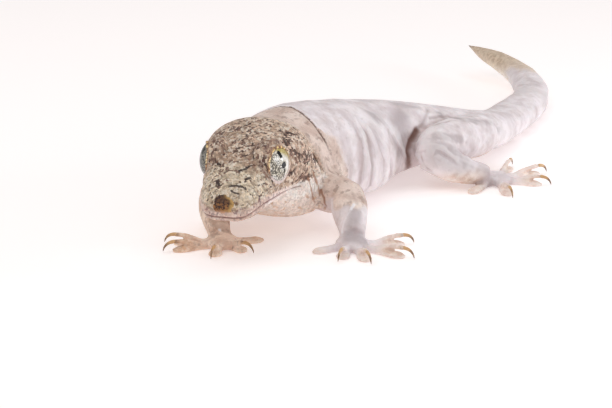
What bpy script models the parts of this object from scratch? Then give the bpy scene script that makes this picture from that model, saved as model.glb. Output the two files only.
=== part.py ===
"""A life-size standing voracious gecko, in the pose of a museum model.

The animal faces -Y with its tail towards +Y, its left side is +X, and it stands on z = 0.
Sizes are in millimetres up to the point where a mesh is made, which is in metres.
"""

import math

import bmesh
import bpy
import numpy as np
from mathutils import Matrix, Vector
from mathutils.bvhtree import BVHTree

MM = 0.001
GAP = 0.3

# Driving sizes of the animal.
HEAD_LENGTH = 40.0
HEAD_WIDTH = 30.4
HEAD_DEPTH = 20.0
EYE_RADIUS = 5.6
EYE_THICKNESS = 4.2
TRUNK_WIDTH = 35.0
TRUNK_DEPTH = 27.0
TAIL_WIDTH = 16.0
LIMB_GIRTH = 9.0
HAND_REACH = 18.8
FOOT_REACH = 21.0
PAD_WIDTH = 4.3
CLAW_LENGTH = 4.2

# How many sides and rings the lofts have.
BODY_SIDES = 24
BODY_RINGS = 50
HEAD_SIDES = 28
HEAD_RINGS = 22
LIMB_SIDES = 12
LIMB_RINGS = 8
TOE_SIDES = 8
TOE_RINGS = 8
CLAW_SIDES = 6
CLAW_RINGS = 6
SHARP_ANGLE = math.radians(40)

# Where the head is: the lip at the tip of the snout, and how the head is turned and dipped.
SNOUT = Vector((0.2, -30.2, 15.0))
HEAD_TURN = math.radians(5.4)
HEAD_DIP = math.radians(13.5)

# The head's sections, from the snout back. Shares of HEAD_LENGTH: distance back. Shares of
# half HEAD_WIDTH: half width. Shares of HEAD_DEPTH: height over and depth under the lip line.
HEAD_SECTIONS = (
    (0.000, 0.20, 0.130, 0.065),
    (0.018, 0.34, 0.220, 0.125),
    (0.060, 0.45, 0.275, 0.180),
    (0.140, 0.55, 0.325, 0.230),
    (0.270, 0.63, 0.385, 0.285),
    (0.400, 0.69, 0.440, 0.335),
    (0.520, 0.76, 0.495, 0.395),
    (0.650, 0.89, 0.520, 0.465),
    (0.790, 1.00, 0.520, 0.525),
    (0.910, 1.00, 0.495, 0.530),
    (1.020, 0.90, 0.430, 0.480),
    (1.120, 0.74, 0.340, 0.380),
)
# How boxy the head and body are over and under their middle: 2 is an ellipse.
HEAD_POWERS = (2.05, 2.50)
BODY_POWERS = (2.25, 3.00)
ROUND = (2.0, 2.0)

# The body from the throat to the base of the tail: x, y and z of its middle line, then shares
# of half TRUNK_WIDTH for the half width and of half TRUNK_DEPTH for above and below.
BODY_SECTIONS = (
    (-2.4, -6.5, 11.6, 0.42, 0.14, 0.18),
    (-2.6, -2.0, 12.6, 0.70, 0.46, 0.42),
    (-2.2, 4.0, 12.9, 0.84, 1.18, 0.63),
    (-1.6, 10.0, 12.6, 0.90, 1.43, 0.69),
    (-1.6, 17.0, 12.8, 0.95, 1.44, 0.72),
    (-0.8, 26.0, 13.0, 1.00, 1.43, 0.77),
    (2.0, 37.0, 12.4, 1.03, 1.38, 0.81),
    (5.4, 48.0, 11.4, 1.07, 1.31, 0.77),
    (7.0, 53.0, 11.0, 1.01, 1.28, 0.76),
    (8.9, 58.0, 10.8, 0.87, 1.23, 0.73),
    (14.0, 68.0, 11.2, 0.70, 1.06, 0.67),
    (20.8, 78.0, 11.4, 0.61, 0.85, 0.62),
    (28.0, 88.0, 11.0, 0.58, 0.66, 0.54),
    (34.0, 98.0, 9.8, 0.56, 0.53, 0.49),
    (37.0, 108.0, 8.4, 0.51, 0.46, 0.46),
)
# The tail goes on from there, with shares of half TAIL_WIDTH for all three.
TAIL_SECTIONS = (
    (38.0, 119.0, 7.0, 1.00, 0.65, 0.75),
    (38.8, 131.0, 6.4, 0.98, 0.65, 0.70),
    (40.0, 146.0, 5.9, 0.94, 0.64, 0.66),
    (40.2, 163.0, 5.7, 0.88, 0.61, 0.62),
    (36.2, 183.0, 6.2, 0.79, 0.55, 0.56),
    (25.6, 202.0, 8.2, 0.65, 0.47, 0.47),
    (13.0, 216.0, 9.6, 0.45, 0.34, 0.34),
    (-0.4, 231.0, 10.4, 0.07, 0.07, 0.07),
)

# Each limb, down to its elbow or knee and from there to the wrist or ankle: x, y and z of
# its middle line, and its radius as a share of half LIMB_GIRTH.
LEFT_ARM = (
    ((8.6, 20.0, 12.4, 1.46), (12.8, 15.6, 10.7, 1.46), (17.2, 12.8, 10.2, 1.28),
     (21.4, 11.0, 10.0, 1.12)),
    ((21.4, 11.0, 10.0, 1.12), (23.6, 6.4, 8.4, 1.18), (25.8, 1.6, 6.2, 1.02),
     (28.0, -3.2, 3.6, 0.76)),
)
RIGHT_ARM = (
    ((-8.0, 24.0, 16.6, 1.46), (-11.2, 19.0, 14.0, 1.34), (-14.8, 12.4, 11.2, 1.08),
     (-17.4, 5.4, 8.8, 0.97)),
    ((-17.4, 5.4, 8.8, 0.97), (-15.1, -1.6, 7.8, 1.00), (-11.8, -8.0, 5.9, 0.90),
     (-8.4, -13.4, 3.5, 0.72)),
)
LEFT_LEG = (
    ((34.6, 99.0, 9.6, 1.36), (39.4, 92.6, 10.6, 1.50), (37.4, 80.6, 12.0, 1.60),
     (33.4, 68.6, 12.6, 1.58), (32.8, 61.4, 11.9, 1.49)),
    ((33.2, 61.0, 10.8, 1.34), (37.4, 62.2, 8.0, 1.16), (42.4, 66.0, 5.4, 0.94),
     (47.6, 71.0, 3.5, 0.74)),
)
RIGHT_LEG = (
    ((26.0, 98.0, 10.0, 1.50), (18.6, 99.6, 9.6, 1.44), (10.6, 100.0, 9.8, 1.30),
     (3.4, 99.0, 9.4, 1.12)),
    ((3.4, 99.0, 9.4, 1.12), (1.2, 104.2, 7.6, 1.08), (-1.2, 110.2, 5.4, 0.90),
     (-4.0, 116.6, 3.5, 0.74)),
)

# The hands and feet: middle of the palm, toe directions in degrees from +X, first toe to
# fifth, and each toe's reach as a share of HAND_REACH or FOOT_REACH.
LEFT_HAND = ((28.0, -4.6), (-140, -88, -51, -9, 34), (0.62, 0.68, 0.80, 1.02, 0.96))
RIGHT_HAND = ((-6.8, -15.4), (47, -17, -82, -143, -171), (0.68, 0.59, 0.64, 0.89, 0.88))
LEFT_FOOT = ((49.6, 73.6), (-105, -58, 9, 53, 88), (0.74, 0.86, 0.84, 1.02, 1.02))
RIGHT_FOOT = ((-5.4, 119.0), (-112, -162, 152, 112, 62), (0.74, 0.86, 0.98, 1.04, 0.94))

# Places where the head and body are parted: how far back from the snout the head ends, and
# shares of the way along the body's middle line.
HEAD_END = 40.5
SHOULDER_CUT = 0.118
VENT_CUT = 0.485
TAIL_CUTS = (0.655, 0.835)


def smooth(rows, count):
    """Rows of numbers whose first three are a place, passed through by a smooth curve."""
    rows = np.array(rows, float)
    reach = np.linalg.norm(np.diff(rows[:, :3], axis=0), axis=1)
    at = np.concatenate([[0.0], np.cumsum(reach)])
    slope = np.gradient(rows, at, axis=0)
    made = []
    for t in np.linspace(0.0, at[-1], count):
        i = min(int(np.searchsorted(at, t, side="right")) - 1, len(rows) - 2)
        span = at[i + 1] - at[i]
        u = (t - at[i]) / span
        made.append(
            rows[i] * (2 * u**3 - 3 * u**2 + 1)
            + slope[i] * span * (u**3 - 2 * u**2 + u)
            + rows[i + 1] * (3 * u**2 - 2 * u**3)
            + slope[i + 1] * span * (u**3 - u**2)
        )
    return np.array(made)


def section(sides, half_width, above, below, powers):
    """Points round a rounded box or ellipse, as (sideways, up) pairs."""
    points = []
    for k in range(sides):
        angle = math.tau * (k + 0.5) / sides
        across, up = math.cos(angle), math.sin(angle)
        height, power = (above, powers[0]) if up > 0 else (below, powers[1])
        points.append(
            (
                half_width * math.copysign(abs(across) ** (2 / power), across),
                height * math.copysign(abs(up) ** (2 / power), up),
            )
        )
    return points


def mesh_object(name, mesh, collection):
    thing = bpy.data.objects.new(name, mesh)
    collection.objects.link(thing)
    return thing


def from_bmesh(name, bm, collection):
    bmesh.ops.recalc_face_normals(bm, faces=bm.faces)
    mesh = bpy.data.meshes.new(name)
    bm.to_mesh(mesh)
    bm.free()
    return mesh_object(name, mesh, collection)


def loft(name, rings, collection):
    """One closed mesh through rings of points, given in millimetres."""
    bm = bmesh.new()
    loops = [[bm.verts.new(Vector(p) * MM) for p in ring] for ring in rings]
    for one, two in zip(loops, loops[1:]):
        for k in range(len(one)):
            n = (k + 1) % len(one)
            bm.faces.new((one[k], one[n], two[n], two[k]))
    bm.faces.new(loops[0])
    bm.faces.new(loops[-1])
    return from_bmesh(name, bm, collection)


def frames(places, up_hint=Vector((0, 0, 1))):
    """At each place along a line, its forward, sideways and up directions."""
    ways = np.gradient(np.array(places)[:, :3], axis=0)
    made = []
    for way in ways:
        forward = Vector(way).normalized()
        side = up_hint.cross(forward).normalized()
        made.append((forward, side, forward.cross(side)))
    return made


def tube(name, rows, sides, powers, collection, up_hint=Vector((0, 0, 1))):
    """A loft whose rows are x, y, z, half width, above, below."""
    rings = []
    for row, (_, side, up) in zip(rows, frames(rows, up_hint)):
        centre = Vector(row[:3])
        rings.append(
            [centre + side * x + up * z for x, z in section(sides, *row[3:6], powers)]
        )
    return loft(name, rings, collection)


def ball(name, centre, radii, turn, collection, segments=20, rings=12):
    """An ellipsoid in millimetres, turned by a rotation."""
    bm = bmesh.new()
    bmesh.ops.create_uvsphere(bm, u_segments=segments, v_segments=rings, radius=1.0)
    scale = Matrix.Diagonal((*[r * MM for r in radii], 1.0))
    place = Matrix.Translation(Vector(centre) * MM) @ turn.to_4x4() @ scale
    bmesh.ops.transform(bm, matrix=place, verts=bm.verts)
    return from_bmesh(name, bm, collection)


def plate(name, centre, normal, reach, collection, up_hint=Vector((0, 0, 1))):
    """A square plate as thick as the gap between nodes."""
    side = up_hint.cross(normal).normalized()
    up = normal.cross(side)
    corners = ((1, 1), (-1, 1), (-1, -1), (1, -1))
    rings = []
    for offset in (-GAP / 2, GAP / 2):
        middle = centre + normal * offset
        rings.append([middle + side * x * reach + up * z * reach for x, z in corners])
    return loft(name, rings, collection)


def turned(forward):
    """A rotation that sends +Z to a direction."""
    return forward.to_track_quat("Z", "Y").to_matrix()


# The head's own directions: forwards, to the animal's left, and up.
FACING = Vector(
    (
        math.sin(HEAD_TURN) * math.cos(HEAD_DIP),
        -math.cos(HEAD_TURN) * math.cos(HEAD_DIP),
        -math.sin(HEAD_DIP),
    )
)
HEAD_LEFT = Vector((math.cos(HEAD_TURN), math.sin(HEAD_TURN), 0))
HEAD_UP = FACING.cross(HEAD_LEFT)

# Where an eye's middle is in those directions, the ring of the lid round it, and the dome under
# the lid, which is an ellipsoid sunk a little under the eye's middle.
EYE_BACK = 20.0
EYE_OUT = 8.4
EYE_UP = 5.1
LID_OUT = 1.7
LID_RADIUS = 5.55
LID_THICKNESS = 0.62
DOME_RADII = (7.1, 7.1, 4.4)
DOME_SINK = 1.0


def in_head(back, left, up):
    """A place given in the head's own directions, from the lip at the snout's tip."""
    return SNOUT - FACING * back + HEAD_LEFT * left + HEAD_UP * up


def head_turn():
    """A rotation that sends X, Y and Z to the head's left, back and up."""
    return Matrix((HEAD_LEFT, -FACING, HEAD_UP)).transposed()


def eye_place(side):
    """The middle of an eye and the way it looks: outwards, a little forwards and up."""
    axis = (FACING * 0.30 + HEAD_LEFT * side * 0.93 + HEAD_UP * 0.16).normalized()
    return in_head(EYE_BACK, side * EYE_OUT, EYE_UP), axis


def make_eye(name, side, extra, collection):
    centre, axis = eye_place(side)
    radii = (EYE_RADIUS + extra, EYE_RADIUS + extra, EYE_THICKNESS + extra)
    return ball(name, centre, radii, turned(axis), collection, 22, 12)


def make_lid(name, side, collection):
    """The raised ring that frames an eye."""
    centre, axis = eye_place(side)
    bpy.ops.mesh.primitive_torus_add(
        major_segments=24,
        minor_segments=6,
        major_radius=LID_RADIUS * MM,
        minor_radius=LID_THICKNESS * MM,
        location=(centre + axis * LID_OUT) * MM,
        rotation=turned(axis).to_euler(),
    )
    lid = bpy.context.object
    lid.name = name
    for home in list(lid.users_collection):
        home.objects.unlink(lid)
    collection.objects.link(lid)


def make_head(flesh, cutters):
    """The head's forms, with the pits of eyes, nostrils and ears and the line of the mouth."""
    rows = []
    for back, wide, above, below in HEAD_SECTIONS:
        centre = in_head(back * HEAD_LENGTH, 0, 0)
        sizes = (wide * HEAD_WIDTH / 2, above * HEAD_DEPTH, below * HEAD_DEPTH)
        rows.append((*centre, *sizes))
    rings = smooth(rows, HEAD_RINGS)
    tube("skull_form", rings, HEAD_SIDES, HEAD_POWERS, flesh, HEAD_UP)
    for side in (1, -1):
        centre, axis = eye_place(side)
        ball("dome", centre - axis * DOME_SINK, DOME_RADII, turned(axis), flesh, 20, 10)
        make_lid("lid", side, flesh)
        make_eye("socket", side, GAP, cutters)
        nostril = in_head(1.8, side * 3.3, 2.4)
        way = (HEAD_LEFT * side * 0.7 + FACING * 0.6 + HEAD_UP * 0.3).normalized()
        ball("nostril", nostril, (0.5, 0.8, 1.4), turned(way), cutters, 10, 8)
        ear = in_head(38.2, side * 15.4, -3.0)
        ball("ear", ear, (1.8, 0.7, 2.6), head_turn(), cutters, 12, 8)
    make_lips(flesh)
    make_mouth_cut(cutters)
    plate("nape_cut", in_head(HEAD_END, 0, 0), FACING, 24, cutters, HEAD_UP)


# The line of the mouth seen from the side: distance back and height in the head.
MOUTH_LINE = (
    (-3.0, -1.1),
    (0.8, -1.0),
    (2.4, -0.5),
    (5.0, -0.3),
    (8.0, -0.6),
    (12.0, -1.7),
    (19.5, -3.9),
    (24.5, -5.5),
    (30.0, -6.9),
    (HEAD_END + GAP, -9.4),
)
# How far back on the line the lips have their places, from a corner of the mouth forwards, and
# their radius there. The last place is the middle of the snout.
LIPS = (
    (27.0, 0.40),
    (23.5, 0.80),
    (18.5, 1.00),
    (13.5, 1.05),
    (9.0, 1.10),
    (5.4, 1.15),
    (2.8, 1.15),
    (1.1, 1.15),
    (0.35, 1.15),
)
LIP_DEPTH = 0.55


def mouth_height(back):
    """The height in the head of the line of the mouth."""
    return float(np.interp(back, *np.array(MOUTH_LINE).T))


def head_width_at(back, up):
    """Half of the head's width at a distance back and a height under the lip line."""
    share, wide, _, below = np.array(HEAD_SECTIONS).T
    half = np.interp(back, share * HEAD_LENGTH, wide * HEAD_WIDTH / 2)
    depth = np.interp(back, share * HEAD_LENGTH, below * HEAD_DEPTH)
    power = HEAD_POWERS[1]
    return float(half * (1 - min(-up / depth, 0.98) ** power) ** (1 / power))


def make_lips(flesh):
    """One swelling along the line of the mouth, which the cut then parts into two lips."""
    left = []
    for back, radius in LIPS:
        up = mouth_height(back)
        out = head_width_at(back, up) - LIP_DEPTH
        left.append((back, out, up, radius))
    middle = (-0.15 + LIP_DEPTH, 0.0, mouth_height(0), LIPS[-1][1])
    right = [(back, -out, up, radius) for back, out, up, radius in reversed(left)]
    rows = []
    for back, out, up, radius in (*left, middle, *right):
        rows.append((*in_head(back, out, up), radius * 0.85, radius * 1.25, radius * 1.25))
    tube("lips", rows, 6, ROUND, flesh, HEAD_UP)


def make_mouth_cut(cutters):
    """A thin bent sheet that parts the lower jaw from the head along the lips."""
    rings = []
    for i, (back, up) in enumerate(MOUTH_LINE):
        before = MOUTH_LINE[max(i - 1, 0)]
        after = MOUTH_LINE[min(i + 1, len(MOUTH_LINE) - 1)]
        way = Vector((after[0] - before[0], after[1] - before[1])).normalized()
        across = Vector((-way.y, way.x)) * GAP / 2
        over, under = (back + across.x, up + across.y), (back - across.x, up - across.y)
        rings.append(
            [
                in_head(over[0], -22, over[1]),
                in_head(over[0], 22, over[1]),
                in_head(under[0], 22, under[1]),
                in_head(under[0], -22, under[1]),
            ]
        )
    loft("mouth_cut", rings, cutters)


def body_rows():
    rows = []
    for x, y, z, wide, above, below in BODY_SECTIONS:
        sizes = (wide * TRUNK_WIDTH / 2, above * TRUNK_DEPTH / 2, below * TRUNK_DEPTH / 2)
        rows.append((x, y, z, *sizes))
    for x, y, z, *shares in TAIL_SECTIONS:
        rows.append((x, y, z, *(share * TAIL_WIDTH / 2 for share in shares)))
    return smooth(rows, BODY_RINGS)


def body_cut(name, rows, share, reach, cutters):
    """Parts the body across its middle line, at a share of the way along it."""
    index = share * (len(rows) - 1)
    low = int(index)
    centre = Vector(rows[low][:3]).lerp(Vector(rows[low + 1][:3]), index - low)
    plate(name, centre, frames(rows)[low][0], reach, cutters)


def limb_rows(line):
    rows = [(x, y, z, *(share * LIMB_GIRTH / 2,) * 3) for x, y, z, share in line]
    return smooth(rows, LIMB_RINGS)


def along(middle, angle, reach, height):
    """A place at a reach and a height out from the middle of a palm."""
    turn = math.radians(angle)
    across, on = reach * math.cos(turn), reach * math.sin(turn)
    return (middle[0] + across, middle[1] + on, height)


# A toe from the palm out: share of its length, share of half PAD_WIDTH, half its thickness.
TOE_SHAPE = (
    (0.10, 0.66, 1.45),
    (0.34, 0.50, 1.20),
    (0.52, 0.54, 0.98),
    (0.68, 0.86, 0.82),
    (0.83, 1.00, 0.74),
    (0.95, 0.80, 0.64),
    (1.00, 0.38, 0.42),
)
# The slim last joint over a pad: share of the pad's length, height, radius.
JOINT_SHAPE = (
    (0.44, 1.35, 0.78),
    (0.62, 2.25, 0.72),
    (0.82, 2.95, 0.68),
    (1.00, 3.00, 0.62),
)
CLAW_HEIGHT = 3.0
CLAW_BEND = 1.45


def make_toe(name, middle, angle, reach, clawed, flesh, claws):
    """A toe with its wide pad on the floor, the slim last joint over it, and the claw."""
    pad_end = reach - (CLAW_LENGTH * 0.62 if clawed else 0.0)
    half = PAD_WIDTH / 2
    rows = [
        (*along(middle, angle, share * pad_end, thick - 0.12), wide * half, thick, thick)
        for share, wide, thick in TOE_SHAPE
    ]
    tube("toe", smooth(rows, TOE_RINGS), TOE_SIDES, (2.4, 3.0), flesh)
    if not clawed:
        return
    rows = [
        (*along(middle, angle, share * (pad_end - 0.25), up), *(r,) * 3)
        for share, up, r in JOINT_SHAPE
    ]
    tube("toe_joint", smooth(rows, 5), 7, ROUND, flesh)
    rows = []
    bend = CLAW_LENGTH / CLAW_BEND
    for k in range(CLAW_RINGS):
        share = k / (CLAW_RINGS - 1)
        turn = CLAW_BEND * share
        out = pad_end - 0.25 + GAP + bend * math.sin(turn)
        up = CLAW_HEIGHT - bend * (1 - math.cos(turn))
        thick = 0.56 * (1 - share) ** 0.8 + 0.09
        rows.append((*along(middle, angle, out, up), thick * 0.8, thick, thick))
    tube(name, rows, CLAW_SIDES, ROUND, claws)


def make_limb(names, lines, place, size, gecko, body_cutters):
    """A limb as three nodes with its claws, and the pit in the body that it sits in."""
    upper, lower, end = names
    flesh = new_collection(upper + " forms")
    cutters = new_collection(upper + " cutters")
    first, second = limb_rows(lines[0]), limb_rows(lines[1])
    limb = tube("limb", first, LIMB_SIDES, ROUND, gecko)
    tube("lower_form", second, LIMB_SIDES, ROUND, flesh)
    joint = Vector(second[0][:3])
    radius = second[0][3] * 1.01
    ball("joint_form", joint, (radius,) * 3, Matrix.Identity(3), flesh, 12, 8)
    middle, angles, reaches = place
    flat = Matrix.Identity(3)
    ball("palm", (*middle, 1.75), (size * 0.25, size * 0.25, 2.1), flat, flesh, 14, 8)
    for digit, (angle, share) in enumerate(zip(angles, reaches), start=1):
        name = f"claw_{end}_{digit}"
        make_toe(name, middle, angle, share * size, digit > 1, flesh, gecko)
    bend = (frames(first)[-1][0] + frames(second)[0][0]).normalized()
    plate("joint_cut", joint, bend, 14, cutters)
    wrist = Vector(second[-3][:3])
    plate("wrist_cut", wrist, frames(second)[-3][0], 5.6, cutters)
    floor = ((-80, -60), (120, -60), (120, 260), (-80, 260))
    loft("floor_cut", [[(x, y, z) for x, y in floor] for z in (-12.0, 0.0)], cutters)
    apply_boolean(limb, "UNION", flesh)
    apply_boolean(limb, "DIFFERENCE", cutters)
    seeds = {
        upper: first[LIMB_RINGS // 2][:3],
        lower: second[LIMB_RINGS // 2][:3],
        end: (*middle, 1.5),
    }
    part_nodes(limb, seeds, gecko)
    back = Vector(first[0][:3]) - frames(first)[0][0] * GAP
    first[0][:3] = back
    for rows in (first, second):
        rows[:, 3:] += GAP
        tube(upper + "_pit", rows, LIMB_SIDES, ROUND, body_cutters)
    ball("joint_pit", joint, (radius + GAP,) * 3, flat, body_cutters, 12, 8)


def apply_boolean(target, operation, collection):
    """Joins or cuts with every mesh in a collection, and removes those."""
    collection.hide_render = True
    for thing in collection.objects:
        thing.hide_render = True
        thing.display_type = "WIRE"
    modifier = target.modifiers.new("joined", "BOOLEAN")
    modifier.operation = operation
    modifier.operand_type = "COLLECTION"
    modifier.collection = collection
    modifier.solver = "EXACT"
    graph = bpy.context.evaluated_depsgraph_get()
    mesh = bpy.data.meshes.new_from_object(target.evaluated_get(graph))
    target.modifiers.clear()
    target.data = mesh
    for thing in list(collection.objects):
        bpy.data.objects.remove(thing)
    bpy.data.collections.remove(collection)


def islands(bm):
    """The separate closed surfaces of a mesh, as lists of faces."""
    left = set(bm.faces)
    found = []
    while left:
        group = [left.pop()]
        for face in group:
            for line in face.edges:
                for other in line.link_faces:
                    if other in left:
                        left.remove(other)
                        group.append(other)
        found.append(group)
    return found


def part_nodes(whole, seeds, collection):
    """Turns each closed surface that holds a named seed, in millimetres, into a node."""
    bm = bmesh.new()
    bm.from_mesh(whole.data)
    for group in islands(bm):
        corners = sorted({v for face in group for v in face.verts}, key=lambda v: v.index)
        number = {v: i for i, v in enumerate(corners)}
        places = [v.co.copy() for v in corners]
        faces = [[number[v] for v in face.verts] for face in sorted(group, key=lambda f: f.index)]
        tree = BVHTree.FromPolygons(places, faces)
        inside = [n for n, seed in seeds.items() if holds(tree, Vector(seed) * MM)]
        if not inside:
            continue
        mesh = bpy.data.meshes.new(inside[0])
        mesh.from_pydata(places, [], faces)
        mesh_object(inside[0], mesh, collection)
    bm.free()
    bpy.data.objects.remove(whole)


def holds(tree, place):
    """Whether a closed surface holds a place, by counting the walls over it."""
    walls = 0
    way = Vector((0.02, 0.03, 1.0)).normalized()
    start = place
    while True:
        hit = tree.ray_cast(start, way)[0]
        if hit is None:
            return walls % 2 == 1
        walls += 1
        start = hit + way * 1e-6


def material(name, colour, roughness):
    made = bpy.data.materials.new(name)
    made.use_nodes = True
    shader = made.node_tree.nodes["Principled BSDF"]
    shader.inputs["Base Color"].default_value = (*colour, 1.0)
    shader.inputs["Roughness"].default_value = roughness
    shader.inputs["Metallic"].default_value = 0.0
    return made


def new_collection(name):
    made = bpy.data.collections.new(name)
    bpy.context.scene.collection.children.link(made)
    return made


LIMBS = (
    (("upper_arm_left", "forearm_left", "hand_left"), LEFT_ARM, LEFT_HAND, HAND_REACH),
    (("upper_arm_right", "forearm_right", "hand_right"), RIGHT_ARM, RIGHT_HAND, HAND_REACH),
    (("thigh_left", "shank_left", "foot_left"), LEFT_LEG, LEFT_FOOT, FOOT_REACH),
    (("thigh_right", "shank_right", "foot_right"), RIGHT_LEG, RIGHT_FOOT, FOOT_REACH),
)


def make_body(gecko, cutters):
    """Head, neck, trunk and tail, modelled whole and then parted."""
    flesh = new_collection("flesh forms")
    spine = body_rows()
    body = tube("body", spine, BODY_SIDES, BODY_POWERS, gecko)
    make_head(flesh, cutters)
    body_cut("shoulder_cut", spine, SHOULDER_CUT, 20, cutters)
    body_cut("vent_cut", spine, VENT_CUT, 12, cutters)
    for share in TAIL_CUTS:
        body_cut("tail_cut", spine, share, 12, cutters)
    apply_boolean(body, "UNION", flesh)
    apply_boolean(body, "DIFFERENCE", cutters)
    seeds = {
        "head": in_head(12, 0, 4),
        "lower_jaw": in_head(14, 0, -3),
        "neck": (-2.8, 14.0, 20),
        "torso": (5, 45, 16),
        "tail_base": (38.5, 124, 7),
        "tail_middle": (40, 163, 5.7),
        "tail_tip": (13, 216, 9.6),
    }
    part_nodes(body, seeds, gecko)


def main():
    for thing in list(bpy.data.objects):
        bpy.data.objects.remove(thing)
    gecko = new_collection("gecko")
    cutters = new_collection("cutters")
    for names, lines, place, size in LIMBS:
        make_limb(names, lines, place, size, gecko, cutters)
    make_body(gecko, cutters)
    make_eye("eye_left", 1, 0.0, gecko)
    make_eye("eye_right", -1, 0.0, gecko)
    centre_on_base(gecko)
    shade(gecko)
    looks = {
        "claw": material("claw_horn", (0.30, 0.20, 0.12), 0.45),
        "eye": material("eye_surface", (0.62, 0.60, 0.48), 0.10),
        "head": material("head_skin", (0.50, 0.40, 0.30), 0.75),
        "lower_jaw": material("jaw_skin", (0.66, 0.58, 0.50), 0.75),
        "tail_tip": material("tail_tip_skin", (0.62, 0.48, 0.36), 0.75),
        "": material("body_skin", (0.72, 0.68, 0.68), 0.75),
    }
    for thing in gecko.objects:
        key = next(k for k in looks if thing.name.startswith(k))
        thing.data.materials.append(looks[key])


def shade(collection):
    """Shades the nodes smooth, apart from their sharp edges."""
    for thing in collection.objects:
        thing.data.shade_smooth()
        thing.data.set_sharp_from_angle(angle=SHARP_ANGLE)


def centre_on_base(collection):
    """Moves all so that the middle of the whole box's underside is the origin."""
    corners = np.array([v.co for o in collection.objects for v in o.data.vertices])
    low, high = corners.min(0), corners.max(0)
    shift = Vector((-(low[0] + high[0]) / 2, -(low[1] + high[1]) / 2, -low[2]))
    for thing in collection.objects:
        thing.data.transform(Matrix.Translation(shift))


main()
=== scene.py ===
"""The looks of a life-size voracious gecko that is shedding its skin.

One skin stands for all the nodes of flesh, so that no seam shows. The eyes and claws are pieces
of their own. Places are in millimetres in the frame that the animal was laid out in: -Y is
forwards, +X the animal's left, and z = 0 the floor. ORIGIN is that frame's zero in the model.
"""

import math

import bmesh
import bpy
import numpy as np
from mathutils import Matrix, Vector
from mathutils.bvhtree import BVHTree
from mathutils.kdtree import KDTree


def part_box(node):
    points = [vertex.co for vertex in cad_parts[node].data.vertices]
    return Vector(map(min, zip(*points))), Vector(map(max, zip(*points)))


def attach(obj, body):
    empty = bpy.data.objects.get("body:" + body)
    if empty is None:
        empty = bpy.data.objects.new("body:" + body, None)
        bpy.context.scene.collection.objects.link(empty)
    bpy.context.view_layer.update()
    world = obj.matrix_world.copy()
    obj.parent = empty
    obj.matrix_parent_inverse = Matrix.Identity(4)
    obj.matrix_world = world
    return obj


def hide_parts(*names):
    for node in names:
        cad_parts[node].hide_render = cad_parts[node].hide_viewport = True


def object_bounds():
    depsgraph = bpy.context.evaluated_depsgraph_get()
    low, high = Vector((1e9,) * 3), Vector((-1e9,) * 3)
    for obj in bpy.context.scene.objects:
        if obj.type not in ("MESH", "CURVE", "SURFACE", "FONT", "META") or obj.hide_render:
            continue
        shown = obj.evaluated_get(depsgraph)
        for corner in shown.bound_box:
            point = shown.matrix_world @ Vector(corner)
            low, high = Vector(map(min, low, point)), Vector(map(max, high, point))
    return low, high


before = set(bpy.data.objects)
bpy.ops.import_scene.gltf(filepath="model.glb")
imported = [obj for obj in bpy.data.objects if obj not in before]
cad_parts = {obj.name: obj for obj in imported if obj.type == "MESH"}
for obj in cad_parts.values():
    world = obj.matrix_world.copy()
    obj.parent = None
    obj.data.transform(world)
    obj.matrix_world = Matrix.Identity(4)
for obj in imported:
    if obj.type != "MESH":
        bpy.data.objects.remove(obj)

CAD_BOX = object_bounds()
MM = 0.001

# Where the middle between the two eyes was laid out.
EYES_MIDDLE = Vector((-1.5181, -12.0242, 24.6280))
EYE_BOXES = (*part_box("eye_left"), *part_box("eye_right"))
ORIGIN = sum(EYE_BOXES, Vector()) / 4 - EYES_MIDDLE * MM

# The head: the lip at the snout's tip, and the ways it faces.
SNOUT = Vector((0.2, -30.2, 15.0))
HEAD_TURN = math.radians(5.4)
HEAD_DIP = math.radians(13.5)
FACING = Vector(
    (
        math.sin(HEAD_TURN) * math.cos(HEAD_DIP),
        -math.cos(HEAD_TURN) * math.cos(HEAD_DIP),
        -math.sin(HEAD_DIP),
    )
)
HEAD_LEFT = Vector((math.cos(HEAD_TURN), math.sin(HEAD_TURN), 0))
HEAD_UP = FACING.cross(HEAD_LEFT)

EYE_RADIUS = 5.6
EYE_THICKNESS = 4.2
EYE_PLACE = (20.0, 8.4, 5.1)

# The mouth seen from the side, and half of the head's width at the lips: back, then height or width.
MOUTH_LINE = ((-3, -1.1), (0.8, -1.0), (2.4, -0.5), (5, -0.3), (8, -0.6), (12, -1.7), (19.5, -3.9),
              (24.5, -5.5), (30, -6.9), (40.8, -9.4))
LIP_LINE = ((0, 0), (0.1, 2.8), (1.2, 5.4), (3, 7.0), (6, 8.4), (11, 9.6), (16, 10.5), (21, 11.6),
            (26, 13.5), (32, 15.2), (40, 15.2))
MOUTH_END = 28.5

# Where the old skin begins behind the neck, across and back, and where it ends on the tail.
NECK_EDGE = ((-17, 19), (-13, 17.4), (-9, 20), (-4.2, 24.0), (-0.3, 23.6), (1.6, 22.0), (3.3, 20.6),
             (6.5, 18.9), (9.6, 17.3), (13.9, 17.1), (17, 19))
TAIL_EDGE = 192.0

PALMS = ((28.0, -4.6), (-6.8, -15.4), (49.6, 73.6), (-5.4, 119.0))

SWELL = 0.21
SKIN_VOXEL = 0.38
SKIN_TRIANGLES = 196000

CLAWS = sorted(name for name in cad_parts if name.startswith("claw"))
EYES = ("eye_left", "eye_right")
FLESH = sorted(set(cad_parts) - set(CLAWS) - set(EYES))


# Arrays of places.


def ease(value, low, high):
    """0 below low, 1 above high and a smooth step between."""
    t = np.clip((value - low) / (high - low), 0.0, 1.0)
    return t * t * (3 - 2 * t)


def hill(value, width):
    """1 where the value is 0, falling to nothing over about the width."""
    return np.exp(-((value / width) ** 2))


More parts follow.
